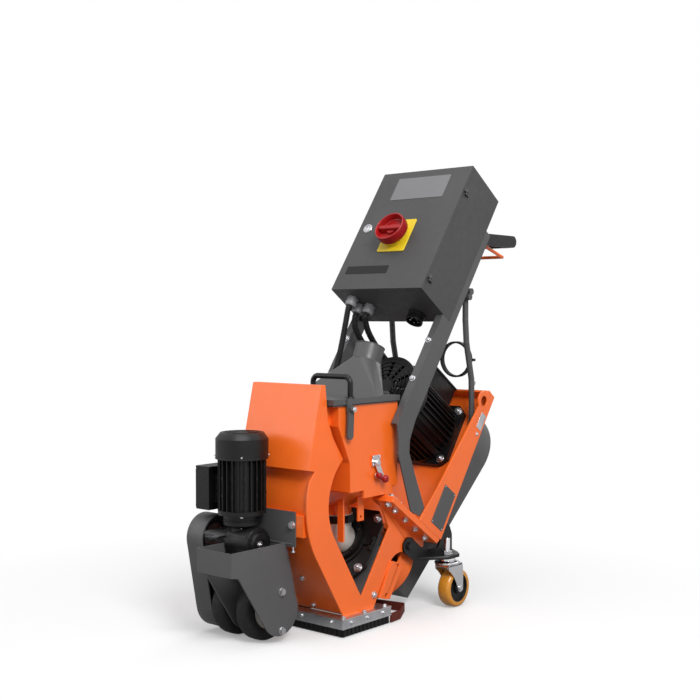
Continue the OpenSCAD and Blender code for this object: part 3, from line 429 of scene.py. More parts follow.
def rounded_plate(name, x0, x1, s0, s1, n0, n1, rad, mat, body, bevel=0.0006):
    """A plate with round corners between two x, two s and two n of the arm (mm)."""
    bm = bmesh.new()
    pts = []
    for cx, cs, a0 in ((x1 - rad, s1 - rad, 0), (x0 + rad, s1 - rad, 90), (x0 + rad, s0 + rad, 180),
                       (x1 - rad, s0 + rad, 270)):
        for i in range(9):
            a = math.radians(a0 + 90 * i / 8)
            pts.append((cx + rad * math.cos(a), cs + rad * math.sin(a)))
    loft(bm, [[arm(x, s, n) for x, s in pts] for n in (n0, n1)])
    return obj(name, bm, mat, body, 30, bevel, 3)


# ---------------------------------------------------------------- edges of the sheet-metal solids
def edge_round(names, width, seg=2):
    for n in names:
        o = NODES[n]
        w = o.modifiers.new("weld", "WELD")
        w.merge_threshold = 0.00002
        b = o.modifiers.new("edges", "BEVEL")
        b.width, b.segments, b.limit_method = width, seg, "ANGLE"
        b.angle_limit = math.radians(50)
        b.use_clamp_overlap = True
        b.harden_normals = True


edge_round(["side_plate_right", "side_plate_left", "duct_cover", "arm", "arm_gusset_right",
    "arm_gusset_left", "base_frame", "belt_guard", "front_fork", "chain_guard", "frame_bar_right",
    "frame_bar_left", "lid", "wheel_cover", "caster_carrier_right", "caster_carrier_left"], 0.0009)
edge_round(["control_box", "door"], 0.0018, 3)

# ---------------------------------------------------------------- cables in corrugated conduit
# (x, n) of the glands under the box, for the drive's cable and the blast motor's two.
GLANDS = ((-102, 395), (-102, 360), (-68, 359))
DRIVE_ROUTE = [arm(-102, 436.4, 395), arm(-102, 430, 395), arm(-102, 423.6, 395)] + [
    Vector(p) / 1000 for p in ((-106, 190, 718), (-112, 176, 650), (-115, 154, 580), (-118, 147, 510),
    (-126, 146, 440), (-134, 143, 402), (-135.5, 132, 372), (-135.5, 104, 353), (-135.5, 40, 350),
    (-135.5, -40, 349), (-134, -110, 348), (-129, -160, 346.5), (-125.5, -190, 346),
    (-125, -206.7, 346))]
ROUTE_A = [arm(*p) for p in ((-102, 436.4, 360), (-102, 430, 360), (-102, 423.6, 360),
    (-104, 404, 342), (-106, 390, 290), (-106, 382, 220), (-105, 380, 150), (-99, 380, 96),
    (-84, 380, 73), (-66, 380, 70), (-50.5, 380, 70))]
ROUTE_C = [arm(*p) for p in ((-68, 436.4, 359), (-68, 430, 359), (-68, 423.6, 359), (-74, 406, 320),
    (-80, 396, 260), (-82, 390, 190), (-79, 384, 140), (-70, 381, 116), (-61, 380, 110),
    (-50.5, 380, 110))]
CONDUIT = (0.0082, 18, 0.0012, 0.0045)  # radius, sides, height of the rings, their pitch
bm = bmesh.new()
tube_mesh(bm, smooth_route(DRIVE_ROUTE), *CONDUIT)
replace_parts(obj("conduit_drive", bm, "rubber", "chassis", 50), "cable_drive")
bm = bmesh.new()
for route in (ROUTE_A, ROUTE_C):
    tube_mesh(bm, smooth_route(route), *CONDUIT)
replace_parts(obj("conduit_motor", bm, "rubber", "chassis", 50), "cables_motor")
# Glands: hexagon body, ribbed cap and collar.
bm = bmesh.new()
for x, n in GLANDS:
    p = arm(x, 462, n)
    add_cyl(bm, p, -ES, 0.0165, 0.0165, 0.004, 6)
    lathe(bm, p - ES * 0.004, -ES, [(0, 0), (0.0145, 0), (0.0145, 0.006), (0.0135, 0.007),
        (0.0135, 0.009), (0.0150, 0.010), (0.0150, 0.017), (0.0125, 0.0215), (0.0105, 0.0215),
        (0.0, 0.0215)], 24)
    for d in spread(EX, EN, 12):
        add_box(bm, p - ES * 0.0175 + d * 0.0150, (0.0012, 0.0022, 0.007), basis(ES, d))
caps = obj("glands", bm, "black_plastic", "chassis", 30, 0.0003)
caps.data.materials[0] = GREY_CAP
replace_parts(caps, "cable_glands")
bm = bmesh.new()
for p, d in ((arm(-50, 380, 70), -EX), (arm(-50, 380, 110), -EX), (rig(-125, -115, 346), EY)):
    add_cyl(bm, p, d, 0.0125, 0.0125, 0.004, 6)
    lathe(bm, p + d * 0.004, d, [(0, 0), (0.0115, 0), (0.0115, 0.009), (0.0095, 0.013), (0, 0.013)], 24)
obj("box_glands", bm, "black_plastic", "chassis", 30, 0.0003)
# Clips that hold the drive's cable to the hopper's side.
bm = bmesh.new()
for y, z in ((-40, 349), (40, 350)):
    p = Vector((-135.5, y - 5, z)) / 1000
    lathe(bm, p, EY, [(0.0086, 0), (0.0098, 0), (0.0098, 0.010), (0.0086, 0.010), (0.0086, 0)], 32)
    add_box(bm, Vector((-126.1, y, z + 12)) / 1000, (0.0014, 0.010, 0.022))
    lathe(bm, Vector((-126.8, y, z + 16)) / 1000, -EX, [(0, 0), (0.004, 0), (0.0034, 0.0022),
        (0, 0.0026)], 20)
obj("cable_clips", bm, "steel", "chassis", 40)

# ---------------------------------------------------------------- fasteners of the fixed frame
bm = bmesh.new()
bolts = itertools.count()
for k in (-1, 1):
    for n in (130, 156, 182, 208, 226):
        hex_bolt(bm, arm(k * 136, -22, n), ES, 0.0085, True, 0.3 * next(bolts))
    for n in (40, 90, 140, 190, 222):
        hex_bolt(bm, arm(k * 134, -38, n), -ES, 0.0085, True, 0.3 * next(bolts))
    for s in (-198, -63):
        lathe(bm, arm(k * 84, s, 178), EN, [(0, 0), (0.0115, 0), (0.0115, 0.0022), (0, 0.0022)], 28)
        hex_bolt(bm, arm(k * 84, s, 180.2), EN, 0.0095, True, 0.4 * next(bolts))
    for s in (-74, 74):
        hex_bolt(bm, arm(k * 74, 272 + s, 22), EN, 0.0105, True, 0.2 * next(bolts))
    for s in (-93, -168):
        hex_bolt(bm, arm(k * 40, s, 22), EN, 0.0085, True, 0.5 * next(bolts))
    for s in (265, 382):
        hex_bolt(bm, arm(k * 137, s, 321), EN, 0.0075, True, 0.2 * next(bolts))
    for y in (14, 92, 170):
        hex_bolt(bm, rig(k * 122, y, 44), EZ, 0.0062, True, 0.3 * next(bolts))
thread = [(0, 0), (0.0056, 0)]
for i in range(26):
    thread += [(0.0062, 0.0008 + i * 0.0015), (0.0054, 0.0015 + i * 0.0015)]
thread += [(0.0050, 0.0405), (0, 0.0405)]
lathe(bm, arm(78, 410, 12), ES, thread, 24)
hex_bolt(bm, arm(78, 410, 12), ES, 0.0115, True, 0.2)
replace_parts(obj("bolts_fixed", bm, "steel", "chassis", 30, 0.0003), "fasteners")

# ---------------------------------------------------------------- casters
for side, k in (("right", 1), ("left", -1)):
    stem = rig(k * 148, 398, 0)
    hub = stem + EY * 0.030 + EZ * 0.050
    body = "roller_" + side
    bm = bmesh.new()
    lathe(bm, hub - EX * 0.018, EX, [(0.037, 0.0008), (0.044, 0), (0.0475, 0.002), (0.0498, 0.007),
        (0.0500, 0.018), (0.0498, 0.029), (0.0475, 0.034), (0.044, 0.036), (0.037, 0.0352),
        (0.037, 0.0008)], 72)
    tread = obj("caster_tread_" + side, bm, "amber", body, 40)
    bm = bmesh.new()
    lathe(bm, hub - EX * 0.019, EX, [(0.0051, 0), (0.014, 0), (0.015, 0.001), (0.0155, 0.007),
        (0.033, 0.007), (0.0345, 0.003), (0.0370, 0.0022), (0.0370, 0.0358), (0.0345, 0.035),
        (0.033, 0.031), (0.0155, 0.031), (0.015, 0.037), (0.014, 0.038), (0.0051, 0.038),
        (0.0051, 0)], 72)
    obj("caster_hub_" + side, bm, "black_plastic", body, 35)
    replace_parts(tread, "caster_wheel_" + side)
    # swivel head: dished raceway, stem, nut, axle bolt and its nuts
    bm = bmesh.new()
    swiv = "swivel_" + side
    lathe(bm, stem + EZ * 0.1167, EZ, [(0, 0), (0.0290, 0), (0.0322, 0.0010), (0.0330, 0.0030),
        (0.0328, 0.0052), (0.0312, 0.0066), (0.0288, 0.0074), (0.0240, 0.0084), (0.0218, 0.0092),
        (0.0218, 0.0150), (0.0208, 0.0168), (0.0, 0.0168)], 64)
    lathe(bm, stem + EZ * 0.133, EZ, [(0, 0), (0.0079, 0), (0.0079, 0.0495), (0.0070, 0.051),
        (0, 0.051)], 32)
    add_cyl(bm, stem + EZ * 0.1424, EZ, 0.0150, 0.0150, 0.0011, 36)
    add_cyl(bm, stem + EZ * 0.1435, EZ, 0.0128, 0.0128, 0.0082, 6)
    for e in (-1, 1):
        add_cyl(bm, hub + EX * e * 0.0225, EX * e, 0.0088, 0.0088, 0.0010, 28)
        add_cyl(bm, hub + EX * e * 0.0235, EX * e, 0.0076, 0.0076, 0.0020, 6)
    obj("caster_head_" + side, bm, "chrome", swiv, 35, 0.0003)
    bm = bmesh.new()
    out = [(-22, 104), (-22, 113), (-18, 118), (34, 118), (39, 114), (41, 106), (42.5, 84), (41.5, 50),
        (36, 41.5), (30, 39.2), (23.5, 42), (19, 50), (12, 66), (2, 82), (-9, 94)]
    for e in (-1, 1):
        inner = [stem + EY * y / 1000 + EZ * z / 1000 + EX * e * 0.0197 for y, z in out]
        loft(bm, [inner, [p + EX * e * 0.0027 for p in inner]])
    add_box(bm, stem + EY * 0.008 + EZ * 0.1142, (0.0448, 0.0600, 0.0075))
    fork = obj("caster_fork_plates_" + side, bm, "chrome", swiv, 35, 0.0011, 3)
    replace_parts(fork, "caster_fork_" + side)

# ---------------------------------------------------------------- front tyres and axle ends
TYRES = [rig(x, -120, 75) for x in (-114, -32)]  # the left end of each tyre's axis
bm = bmesh.new()
for p in TYRES:
    lathe(bm, p, EX, [(0.0465, 0.0025), (0.050, 0.0), (0.066, 0.0002), (0.0715, 0.003),
        (0.0745, 0.009), (0.0750, 0.021), (0.0745, 0.033), (0.0715, 0.039), (0.066, 0.0418),
        (0.050, 0.042), (0.0465, 0.0395), (0.0465, 0.0025)], 96)
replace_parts(obj("tyres", bm, "tyre", "axle", 40), "front_tyres")
bm = bmesh.new()
for p in TYRES:
    lathe(bm, p, EX, [(0.0101, 0.001), (0.020, 0.001), (0.0215, 0.0045), (0.0445, 0.0055),
        (0.0464, 0.0035), (0.0464, 0.0385), (0.0445, 0.0365), (0.0215, 0.0375), (0.020, 0.041),
        (0.0101, 0.041), (0.0101, 0.001)], 64)
obj("tyre_hubs", bm, "white_plastic", "axle", 35)

# ---------------------------------------------------------------- blast motor dress
bm = bmesh.new()
c = arm(0, 272, 0)
for d in spread(EX, ES, 4, math.pi / 4):
    hex_bolt(bm, c + d * 0.0951 + EN * 0.214, d, 0.0055, True)
    add_box(bm, c + d * 0.0885 + EN * 0.110, (0.012, 0.016, 0.176), basis(EN, d))
obj("motor_tie_bosses", bm, "cast", "chassis", 35, 0.0006)
bm = bmesh.new()
lathe(bm, c + EN * 0.199, EN, [(0.0930, 0), (0.0958, 0.0), (0.0958, 0.003), (0.0951, 0.004),
    (0.0951, 0.054), (0.0925, 0.0592), (0.0860, 0.0614), (0.0855, 0.0606), (0.0930, 0.054),
    (0.0930, 0)], 96)
for rr in (0.078, 0.066, 0.054, 0.042, 0.030):
    lathe(bm, c + EN * 0.2605, EN, [(rr - 0.0012, 0), (rr + 0.0012, 0), (rr + 0.0012, 0.0018),
        (rr - 0.0012, 0.0018), (rr - 0.0012, 0)], 72)
obj("motor_cowl_rim", bm, "black_paint", "chassis", 35)
# terminal box lid with its four screws
bm = bmesh.new()
add_box(bm, arm(0, 405.5, 95), (0.106, 0.116, 0.006), basis(ES, EX))
obj("terminal_box_lid", bm, "cast", "chassis", 30, 0.0015, 3)
bm = bmesh.new()
for x in (-44, 44):
    for n in (46, 144):
        hex_bolt(bm, arm(x, 408.5, n), ES, 0.004, False)
obj("terminal_box_screws", bm, "steel", "chassis", 30)
# bare plates: motor, gusset
plate("rating_plate", arm(155, 50, 38), EX, ES, 0.056, 0.108, 0.0012, "charcoal", "chassis")
plate("gusset_tag", arm(155, 322, 18), EX, ES, 0.024, 0.046, 0.0008, "silver", "chassis", False)
bm = bmesh.new()
hex_bolt(bm, arm(155, 284, 17), EX, 0.0045, True, 0.2)
obj("gusset_screw", bm, "steel", "chassis", 30)
# weld beads where the gussets and flanges meet the plates
bm = bmesh.new()
for k in (-1, 1):
    bead(bm, arm(k * 150, -20, 6), arm(k * 150, 402, 6))
    bead(bm, arm(k * 112, -38, 60), arm(k * 112, -38, 228))
    bead(bm, arm(k * 93, -22, 2), arm(k * 93, -22, 60))
    bead(bm, rig(k * 112, 30, 44), rig(k * 112, 138, 44))
obj("weld_beads", bm, "orange", "chassis", 60)
bm = bmesh.new()
for a, b in ((rig(-126, 134, 565), rig(126, 134, 565)), (rig(-126, 160, 566), rig(126, 160, 566)),
             (rig(-126, 134, 565), rig(-126, 160, 566)), (rig(126, 134, 565), rig(126, 160, 566))):
    bead(bm, a, b, 0.0017, 0.0032)
tilt_up = Vector((0, math.sin(math.radians(22)), math.cos(math.radians(22))))
pc = rig(0, 247, 643)
ring = [pc + d * 0.0394 for d in spread(EX, tilt_up.cross(EX), 60)]
for a, b in zip(ring, ring[1:] + ring[:1]):
    bead(bm, a, b, 0.0015, 0.0036)
obj("hood_welds", bm, "charcoal", "lid_body", 60)
bm = bmesh.new()
lathe(bm, pc + tilt_up * 0.0415, tilt_up, [(0.0350, 0), (0.0381, 0), (0.0392, 0.0008), (0.0392, 0.002),
    (0.0381, 0.0028), (0.0350, 0.0028), (0.0350, 0)], 72)
obj("pipe_bead", bm, "charcoal", "lid_body", 50)

# ---------------------------------------------------------------- lid: handle, gasket, latch bolt
bm = bmesh.new()
pts = [rig(-2, 45, 565), rig(-2, 45, 600)]
for i in range(9):
    t = math.pi / 2 * i / 8
    pts.append(rig(-2 + 16 * (1 - math.cos(t)), 45, 600 + 16 * math.sin(t)))
for i in range(9):
    t = math.pi / 2 * i / 8
    pts.append(rig(101 + 16 * math.sin(t), 45, 600 + 16 * math.cos(t)))
pts += [rig(117, 45, 600), rig(117, 45, 565)]
tube_mesh(bm, pts, 0.0068, 20)
for x in (-2, 117):
    lathe(bm, rig(x, 45, 565), EZ, [(0, 0), (0.011, 0), (0.011, 0.002), (0.0085, 0.004), (0, 0.004)], 32)
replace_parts(obj("lid_grab", bm, "black_paint", "lid_body", 60), "lid_handle")
bm = bmesh.new()
rim = [rig(*p, 551) for p in ((-129, -29), (129, -29), (129, 220), (-129, 220))]
for a, b in zip(rim, rim[1:] + rim[:1]):
    tube_mesh(bm, [a, b], 0.0016, 8)
obj("lid_gasket", bm, "rubber", "lid_body", 60)
bm = bmesh.new()
hex_bolt(bm, rig(143.5, 25, 541), EX, 0.0075, False, 0.2)
obj("latch_bolt", bm, "steel", "lid_body", 30, 0.0002)
for k in (-1, 1):
    bm = bmesh.new()
    add_cyl(bm, rig(k * 75 - 15.5, 224, 566), EX, 0.0029, 0.0029, 0.031, 20)
    add_cyl(bm, rig(k * 75 - 17.5, 224, 566), EX, 0.0045, 0.0045, 0.002, 20)
    add_box(bm, rig(k * 75 - 16.6, 221, 556), (0.0018, 0.012, 0.024))
    add_box(bm, rig(k * 75 + 16.6, 221, 556), (0.0018, 0.012, 0.024))
    obj("lid_pin_%d" % (k + 1), bm, "charcoal", "chassis", 35, 0.0003)

# ---------------------------------------------------------------- valve lever
bm = bmesh.new()
flat_link(bm, 130.0, 133, [(128, 405), (149, 364)], 8)
flat_link(bm, 130.0, 132.8, [(149, 364), (126, 374)], 6)
lathe(bm, rig(133, 128, 405), EX, [(0, 0), (0.0085, 0), (0.0085, 0.004), (0.006, 0.006), (0, 0.006)], 28)
lathe(bm, rig(116.5, 128, 405), EX, [(0, 0), (0.0135, 0), (0.0135, 0.0045), (0.0049, 0.0045),
    (0.0049, 0.0145), (0, 0.0145)], 24)
lever = obj("valve_arm", bm, "chrome", "valve", 35, 0.0004)
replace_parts(lever, "valve_lever")
bm = bmesh.new()
for y, z, r in ((149, 364, 0.0095), (126, 374, 0.0075)):
    lathe(bm, rig(132.6, y, z), EX, [(0, 0), (r * 0.75, 0), (r * 0.8, 0.002), (r, 0.005), (r * 1.02, 0.009),
        (r * 0.9, 0.013), (r * 0.55, 0.0155), (0, 0.0162)], 32)
obj("valve_knobs", bm, "red_plastic", "valve", 60)
bm = bmesh.new()
for y, z in ((116.5, 419.5), (139.5, 419.5), (139.5, 400.5), (116.5, 400.5)):
    hex_bolt(bm, rig(129.2, y, z), EX, 0.0032, False, 0.4)
add_box(bm, rig(128.7, 128, 410), (0.0013, 0.030, 0.026))
obj("valve_plate", bm, "chrome", "chassis", 30)

# ---------------------------------------------------------------- spout clamp band
bm = bmesh.new()
p = rig(0, ARM_Y - (131 - 45) * S - 184.6 * C - 45, 247)  # over the end of the spout's bend
lathe(bm, p, EZ, [(0.0408, 0.0), (0.0422, 0.0), (0.0426, 0.002), (0.0426, 0.017), (0.0422, 0.019),
    (0.0408, 0.019), (0.0408, 0.0)], 72)
add_box(bm, p + Vector((0.043, 0.0, 0.0095)), (0.010, 0.022, 0.015))
add_cyl(bm, p + Vector((0.043, -0.016, 0.0095)), EY, 0.0042, 0.0042, 0.032, 6)
obj("spout_band", bm, "black_plastic", "chassis", 35, 0.0004)

# ---------------------------------------------------------------- wheel cover dress
bm = bmesh.new()
wc = arm(0, -131, 178)
lathe(bm, wc, EN, [(0.0470, 0.0078), (0.0475, 0.0095), (0.0490, 0.0105), (0.0580, 0.0105), (0.0600, 0.0095),
    (0.0605, 0.0), (0.0660, 0.0), (0.0660, 0.0035), (0.0720, 0.0035), (0.0720, 0.0)], 72)
for i, d in enumerate(spread(EX, ES, 6, math.pi / 6)):
    hex_bolt(bm, wc + d * 0.0535 + EN * 0.0103, EN, 0.0052, True, math.pi / 6 + i * math.pi / 3)
for rr in (0.0445, 0.0405, 0.0365):
    lathe(bm, wc + EN * 0.0006, EN, [(rr - 0.0010, 0), (rr - 0.0004, 0.0026), (rr + 0.0008, 0.0026),
        (rr + 0.0014, 0), (rr - 0.0010, 0)], 72)
obj("cover_ring", bm, "black_paint", "chassis", 35)
bm = bmesh.new()
add_box(bm, arm(84, -131, 181), (0.026, 0.012, 0.006), basis(EN, EX))
add_box(bm, arm(97, -131, 181), (0.009, 0.036, 0.006), basis(EN, EX))
hex_bolt(bm, arm(97, -120, 184), EN, 0.0045, True)
hex_bolt(bm, arm(97, -142, 184), EN, 0.0045, True)
obj("cover_clamp", bm, "black_paint", "chassis", 30, 0.0005)

# ---------------------------------------------------------------- control box dress
bm = bmesh.new()
rim = [arm(*p, 425.2) for p in ((-148, 464), (148, 464), (148, 860), (-148, 860))]
for a, b in zip(rim, rim[1:] + rim[:1]):
    tube_mesh(bm, [a, b], 0.0016, 8)
obj("door_seal", bm, "rubber", "door_body", 60)
# switch: yellow plate with bevel, escutcheon ring, red handle
yp = rounded_plate("switch_plate", -49, 41, 582, 688, 437, 440.2, 5, "yellow", "door_body", 0.0012)
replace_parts(yp, "door_plates")
lp = rounded_plate("label_plate", -86, 90, 762, 838, 437, 438, 3, "box_grey", "door_body", 0.0004)
lp.data.materials[0] = TWO_TONE
rounded_plate("label_strip", -126, 14, 512, 537, 437, 437.8, 2, "black_plastic", "door_body", 0.0003)
bm = bmesh.new()
k = arm(-4, 635, 437)
lathe(bm, k, EN, [(0, 0), (0.0365, 0), (0.0370, 0.0042), (0.0370, 0.0118), (0.0355, 0.0124),
    (0.0355, 0.0146), (0.0368, 0.0152), (0.0362, 0.0160), (0.0, 0.0160)], 72)
for d in spread(EX, ES, 10):
    add_box(bm, k + EN * 0.0080 + d * 0.0366, (0.0016, 0.010, 0.0075), basis(EN, d))
obj("switch_base", bm, "yellow", "door_body", 35, 0.0003)
# The handle: a cup with a thumb bar over its floor, knurled outside.
bm = bmesh.new()
k = arm(-4, 635, 453.3)
lathe(bm, k, EN, [(0, 0), (0.0405, 0), (0.0430, 0.0014), (0.0438, 0.0045), (0.0440, 0.0240),
    (0.0434, 0.0268), (0.0418, 0.0280), (0.0398, 0.0276), (0.0386, 0.0256), (0.0366, 0.0100),
    (0.0345, 0.0084), (0.0, 0.0080)], 72)
for d in spread(EX, ES, 30):
    add_box(bm, k + EN * 0.0125 + d * 0.0436, (0.0010, 0.0034, 0.0150), basis(EN, d))
lathe(bm, k + EN * 0.0080, EN, [(0, 0), (0.0150, 0), (0.0142, 0.0075), (0.0120, 0.0082), (0, 0.0082)], 40)
bar = []
for z, w, half in ((0.0078, 7.0, 37.2), (0.0180, 6.6, 37.8), (0.0222, 6.0, 37.6), (0.0240, 4.4, 36.4)):
    ring = []
    for i in range(32):
        a = 2 * math.pi * i / 32
        cx, cy = math.cos(a), math.sin(a)
        across = w * (1 if cx >= 0 else -1) * abs(cx) ** 0.7
        along = (half - w) * (1 if cy > 0.01 else -1 if cy < -0.01 else 0) + w * cy
        ring.append(k + EN * z + EX * along / 1000 + ES * across / 1000)
    bar.append(ring)
loft(bm, bar)
kn = obj("switch_handle", bm, "red_plastic", "switch", 40, 0.0005)
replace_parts(kn, "switch_knob")
bm = bmesh.new()
q = arm(-119, 666, 437)
lathe(bm, q, EN, [(0, 0), (0.0145, 0), (0.0145, 0.0015), (0.0130, 0.0035), (0.0090, 0.0040),
    (0.0085, 0.0020), (0, 0.0020)], 40)
add_box(bm, q + EN * 0.0027, (0.0024, 0.012, 0.0025), basis(EN, EX))
lk = obj("quarter_lock", bm, "steel", "lock", 35)
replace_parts(lk, "door_lock")
# inlet: shrouded socket with flap rim and pins
bm = bmesh.new()
ip = arm(66, 462, 322)
lathe(bm, ip, -ES, [(0.0, 0.004), (0.0195, 0.004), (0.0195, 0.0250), (0.0212, 0.0260), (0.0236, 0.0252),
    (0.0238, 0.0200), (0.0226, 0.0180), (0.0226, 0.0050), (0.0239, 0.0040), (0.0239, 0.0), (0.0, 0.0)], 48)
sk = obj("inlet_shroud", bm, "black_plastic", "chassis", 35)
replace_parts(sk, "power_inlet")
bm = bmesh.new()
for d in spread(EX, EN, 5, 0.3):
    add_cyl(bm, ip - ES * 0.004 + d * 0.0115, -ES, 0.0024, 0.0020, 0.017, 16)
obj("inlet_pins", bm, "chrome", "chassis", 35)

# ---------------------------------------------------------------- inside the box: plate, contactors, strip
rot = basis(EN, EX)
bm = bmesh.new()
add_box(bm, arm(0, 662, 290.5), (0.260, 0.350, 0.003), rot)
for s in (737, 622, 537):
    add_box(bm, arm(0, s, 293), (0.244, 0.034, 0.0014), rot)
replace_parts(obj("mount_plate", bm, "silver", "chassis", 30, 0.0004), "box_internals")
bm = bmesh.new()
screws = bmesh.new()
for x in (-67, -7, 53):
    add_box(bm, arm(x, 737, 318), (0.046, 0.090, 0.050), rot)
    add_box(bm, arm(x, 737, 355), (0.042, 0.048, 0.024), rot)
    for e in (-1, 1):
        for dx in (-14, 0, 14):
            lathe(screws, arm(x + dx, 737 + e * 35, 343), EN, [(0, 0), (0.004, 0), (0.004, 0.0012),
                (0, 0.0012)], 16)
add_box(bm, arm(-35, 622, 315), (0.110, 0.080, 0.044), rot)
add_box(bm, arm(-35, 622, 347), (0.106, 0.044, 0.020), rot)
obj("contactors", bm, "black_plastic", "chassis", 30, 0.0012, 3)
bm = bmesh.new()
for i in range(18):
    x = -84 + i * 10.4
    add_box(bm, arm(x, 537, 309), (0.0092, 0.030, 0.032), rot)
    lathe(screws, arm(x, 537, 325), EN, [(0, 0), (0.003, 0), (0.003, 0.0010), (0, 0.0010)], 12)
obj("terminal_strip", bm, "white_plastic", "chassis", 30, 0.0008, 2)
obj("terminal_screws", screws, "steel", "chassis", 30)

# ---------------------------------------------------------------- handlebar with its grips
bm = bmesh.new()
for k in (-1, 1):
    ring = []
    for y, turn in ((585, math.pi / 2), (716, -math.pi / 2)):
        for i in range(17):
            t = turn + math.pi * i / 16
            ring.append((y + 16.5 * math.cos(t), 968 + 16.5 * math.sin(t)))
    x0, x1 = sorted((k * 136.3, k * 145.8))
    loft(bm, [[rig(x, *p) for p in ring] for x in (x0, x1)])
    add_cyl(bm, rig(k * 135 if k < 0 else 119, 590, 955), EX, 0.0102, 0.0102, 0.016, 28)
arms = obj("handle_arms", bm, "black_paint", "chassis", 30, 0.0016, 3)
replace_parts(arms, "handlebar")
bm = bmesh.new()
prof = [(0, 0), (0.0150, 0), (0.0168, 0.002), (0.0168, 0.010)]
for i in range(40):
    z = 0.012 + i * 0.006
    prof += [(0.0160, z), (0.0160, z + 0.0016), (0.0168, z + 0.0030), (0.0168, z + 0.0044)]
prof += [(0.0168, 0.262), (0.0168, 0.270), (0.0150, 0.272), (0, 0.272)]
lathe(bm, rig(-136, 716, 968), EX, prof, 48)
obj("grip_sleeve", bm, "rubber", "chassis", 35)

# ---------------------------------------------------------------- front unit dress
dc = rig(-41, -160, 0)  # foot of the drive motor's axis
bm = bmesh.new()
add_box(bm, rig(-128, -160, 405.2), (0.046, 0.092, 0.005))
add_box(bm, rig(-152.2, -160, 354), (0.0045, 0.086, 0.092))
obj("drive_box_lid", bm, "cast", "front_unit", 30, 0.0016, 3)
bm = bmesh.new()
for y in (-198, -122):
    for z in (314, 394):
        hex_bolt(bm, rig(-154.4, y, z), -EX, 0.0036, False)
obj("drive_box_screws", bm, "steel", "front_unit", 30)
bm = bmesh.new()
lathe(bm, dc + EZ * 0.4288, EZ, [(0.0605, 0), (0.0624, 0.0002), (0.0628, 0.0016), (0.0624, 0.0034),
    (0.0605, 0.0036), (0.0605, 0)], 80)
lathe(bm, dc + EZ * 0.4750, EZ, [(0.0600, 0), (0.0622, 0), (0.0622, 0.0010), (0.0512, 0.0150),
    (0.0500, 0.0154), (0.0480, 0.0153), (0.0480, 0.0140), (0.0600, 0)], 80)
for rr in (0.041, 0.034, 0.027, 0.020):
    lathe(bm, dc + EZ * 0.4899, EZ, [(rr - 0.001, 0), (rr + 0.001, 0), (rr + 0.001, 0.0012),
        (rr - 0.001, 0.0012), (rr - 0.001, 0)], 60)
for d in spread(EX, EY, 12, math.radians(22.5)):
    for z in (0.346, 0.386):
        add_box(bm, dc + d * 0.0566 + EZ * z, (0.0022, 0.0046, 0.0062), basis(EZ, d))
obj("drive_cowl_rim", bm, "black_paint", "front_unit", 35)
bm = bmesh.new()
for d in spread(EX, EY, 4, math.pi / 4):
    hex_bolt(bm, dc + d * 0.0505 + EZ * 0.2999, -EZ, 0.0045, False)
    hex_bolt(bm, dc + d * 0.0619 + EZ * 0.4365, d, 0.0026, False)
obj("cowl_bolts", bm, "steel", "front_unit", 30, 0.0002)
bm = bmesh.new()
# gearbox: ring under the motor, neck, worm housing with a bolted side cover
lathe(bm, dc + EZ * 0.2740, EZ, [(0, 0), (0.0425, 0), (0.0440, 0.0015), (0.0440, 0.0100), (0.0422, 0.0112),
    (0.0422, 0.0140), (0.0440, 0.0152), (0.0440, 0.0259), (0, 0.0259)], 72)
lathe(bm, dc + EZ * 0.2500, EZ, [(0, 0), (0.0320, 0), (0.0285, 0.010), (0.0285, 0.0180), (0.0330, 0.0245),
    (0, 0.0245)], 56)
output = rig(0, -160, 233)  # the gearbox's output axis
lathe(bm, output - EX * 0.061, EX, [(0, 0), (0.0370, 0), (0.0395, 0.003), (0.0395, 0.0710),
    (0.0375, 0.0745), (0.0280, 0.0750), (0.0265, 0.0790), (0.0240, 0.0805), (0.0130, 0.0805),
    (0.0120, 0.0780), (0, 0.0780)], 72)
for d in spread(EY, EZ, 6, math.pi / 6):
    hex_bolt(bm, output + EX * 0.0136 + d * 0.0328, EX, 0.0030, False)
    add_box(bm, output - EX * 0.022 + d * 0.0390, (0.062, 0.0040, 0.0040), basis(d, EX))
add_box(bm, rig(-41, -160, 200), (0.038, 0.074, 0.026))
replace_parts(obj("gear_case", bm, "cast", "front_unit", 30, 0.0007, 3), "gearbox")
bm = bmesh.new()
lathe(bm, output + EX * 0.017, EX, [(0, 0), (0.0085, 0), (0.0085, 0.0012), (0, 0.0012)], 28)
hex_bolt(bm, output + EX * 0.018, EX, 0.0050, False)
d = (EX * 0.665 - EY * 0.747).normalized()
for z in (263.5, 268.5):
    lathe(bm, dc + EZ * z / 1000 + d * 0.0278, d, [(0, 0), (0.0016, 0), (0.0012, 0.0012),
        (0, 0.0014)], 12)
obj("gear_bolts", bm, "steel", "front_unit", 30)
# bolts of the chain guard
bm = bmesh.new()
for y, z in ((-196, 258), (-128, 262), (-166, 66), (-74, 66), (-120, 26)):
    hex_bolt(bm, rig(-172, y, z), -EX, 0.0048, True)
obj("guard_bolts", bm, "steel", "front_unit", 30, 0.0002)
bm = bmesh.new()
for k, x in ((1, 43), (-1, -66)):
    bead(bm, rig(x + 2, -277, 182), rig(x + 2, -277, 230), 0.0018)
bead(bm, rig(-60, -106, 232), rig(72, -106, 232), 0.0018)
bead(bm, rig(-112, -211, 254.5), rig(-112, -109, 254.5), 0.0018)
obj("fork_welds", bm, "charcoal", "front_unit", 60)
# height screw under the front unit's back plate
bm = bmesh.new()
lathe(bm, rig(70, -104, 226.5), -EZ, [(0, 0), (0.0026, 0), (0.0026, 0.0090), (0.0056, 0.0100),
    (0.0056, 0.0130), (0, 0.0130)], 24)
obj("height_screw", bm, "steel", "front_unit", 30)

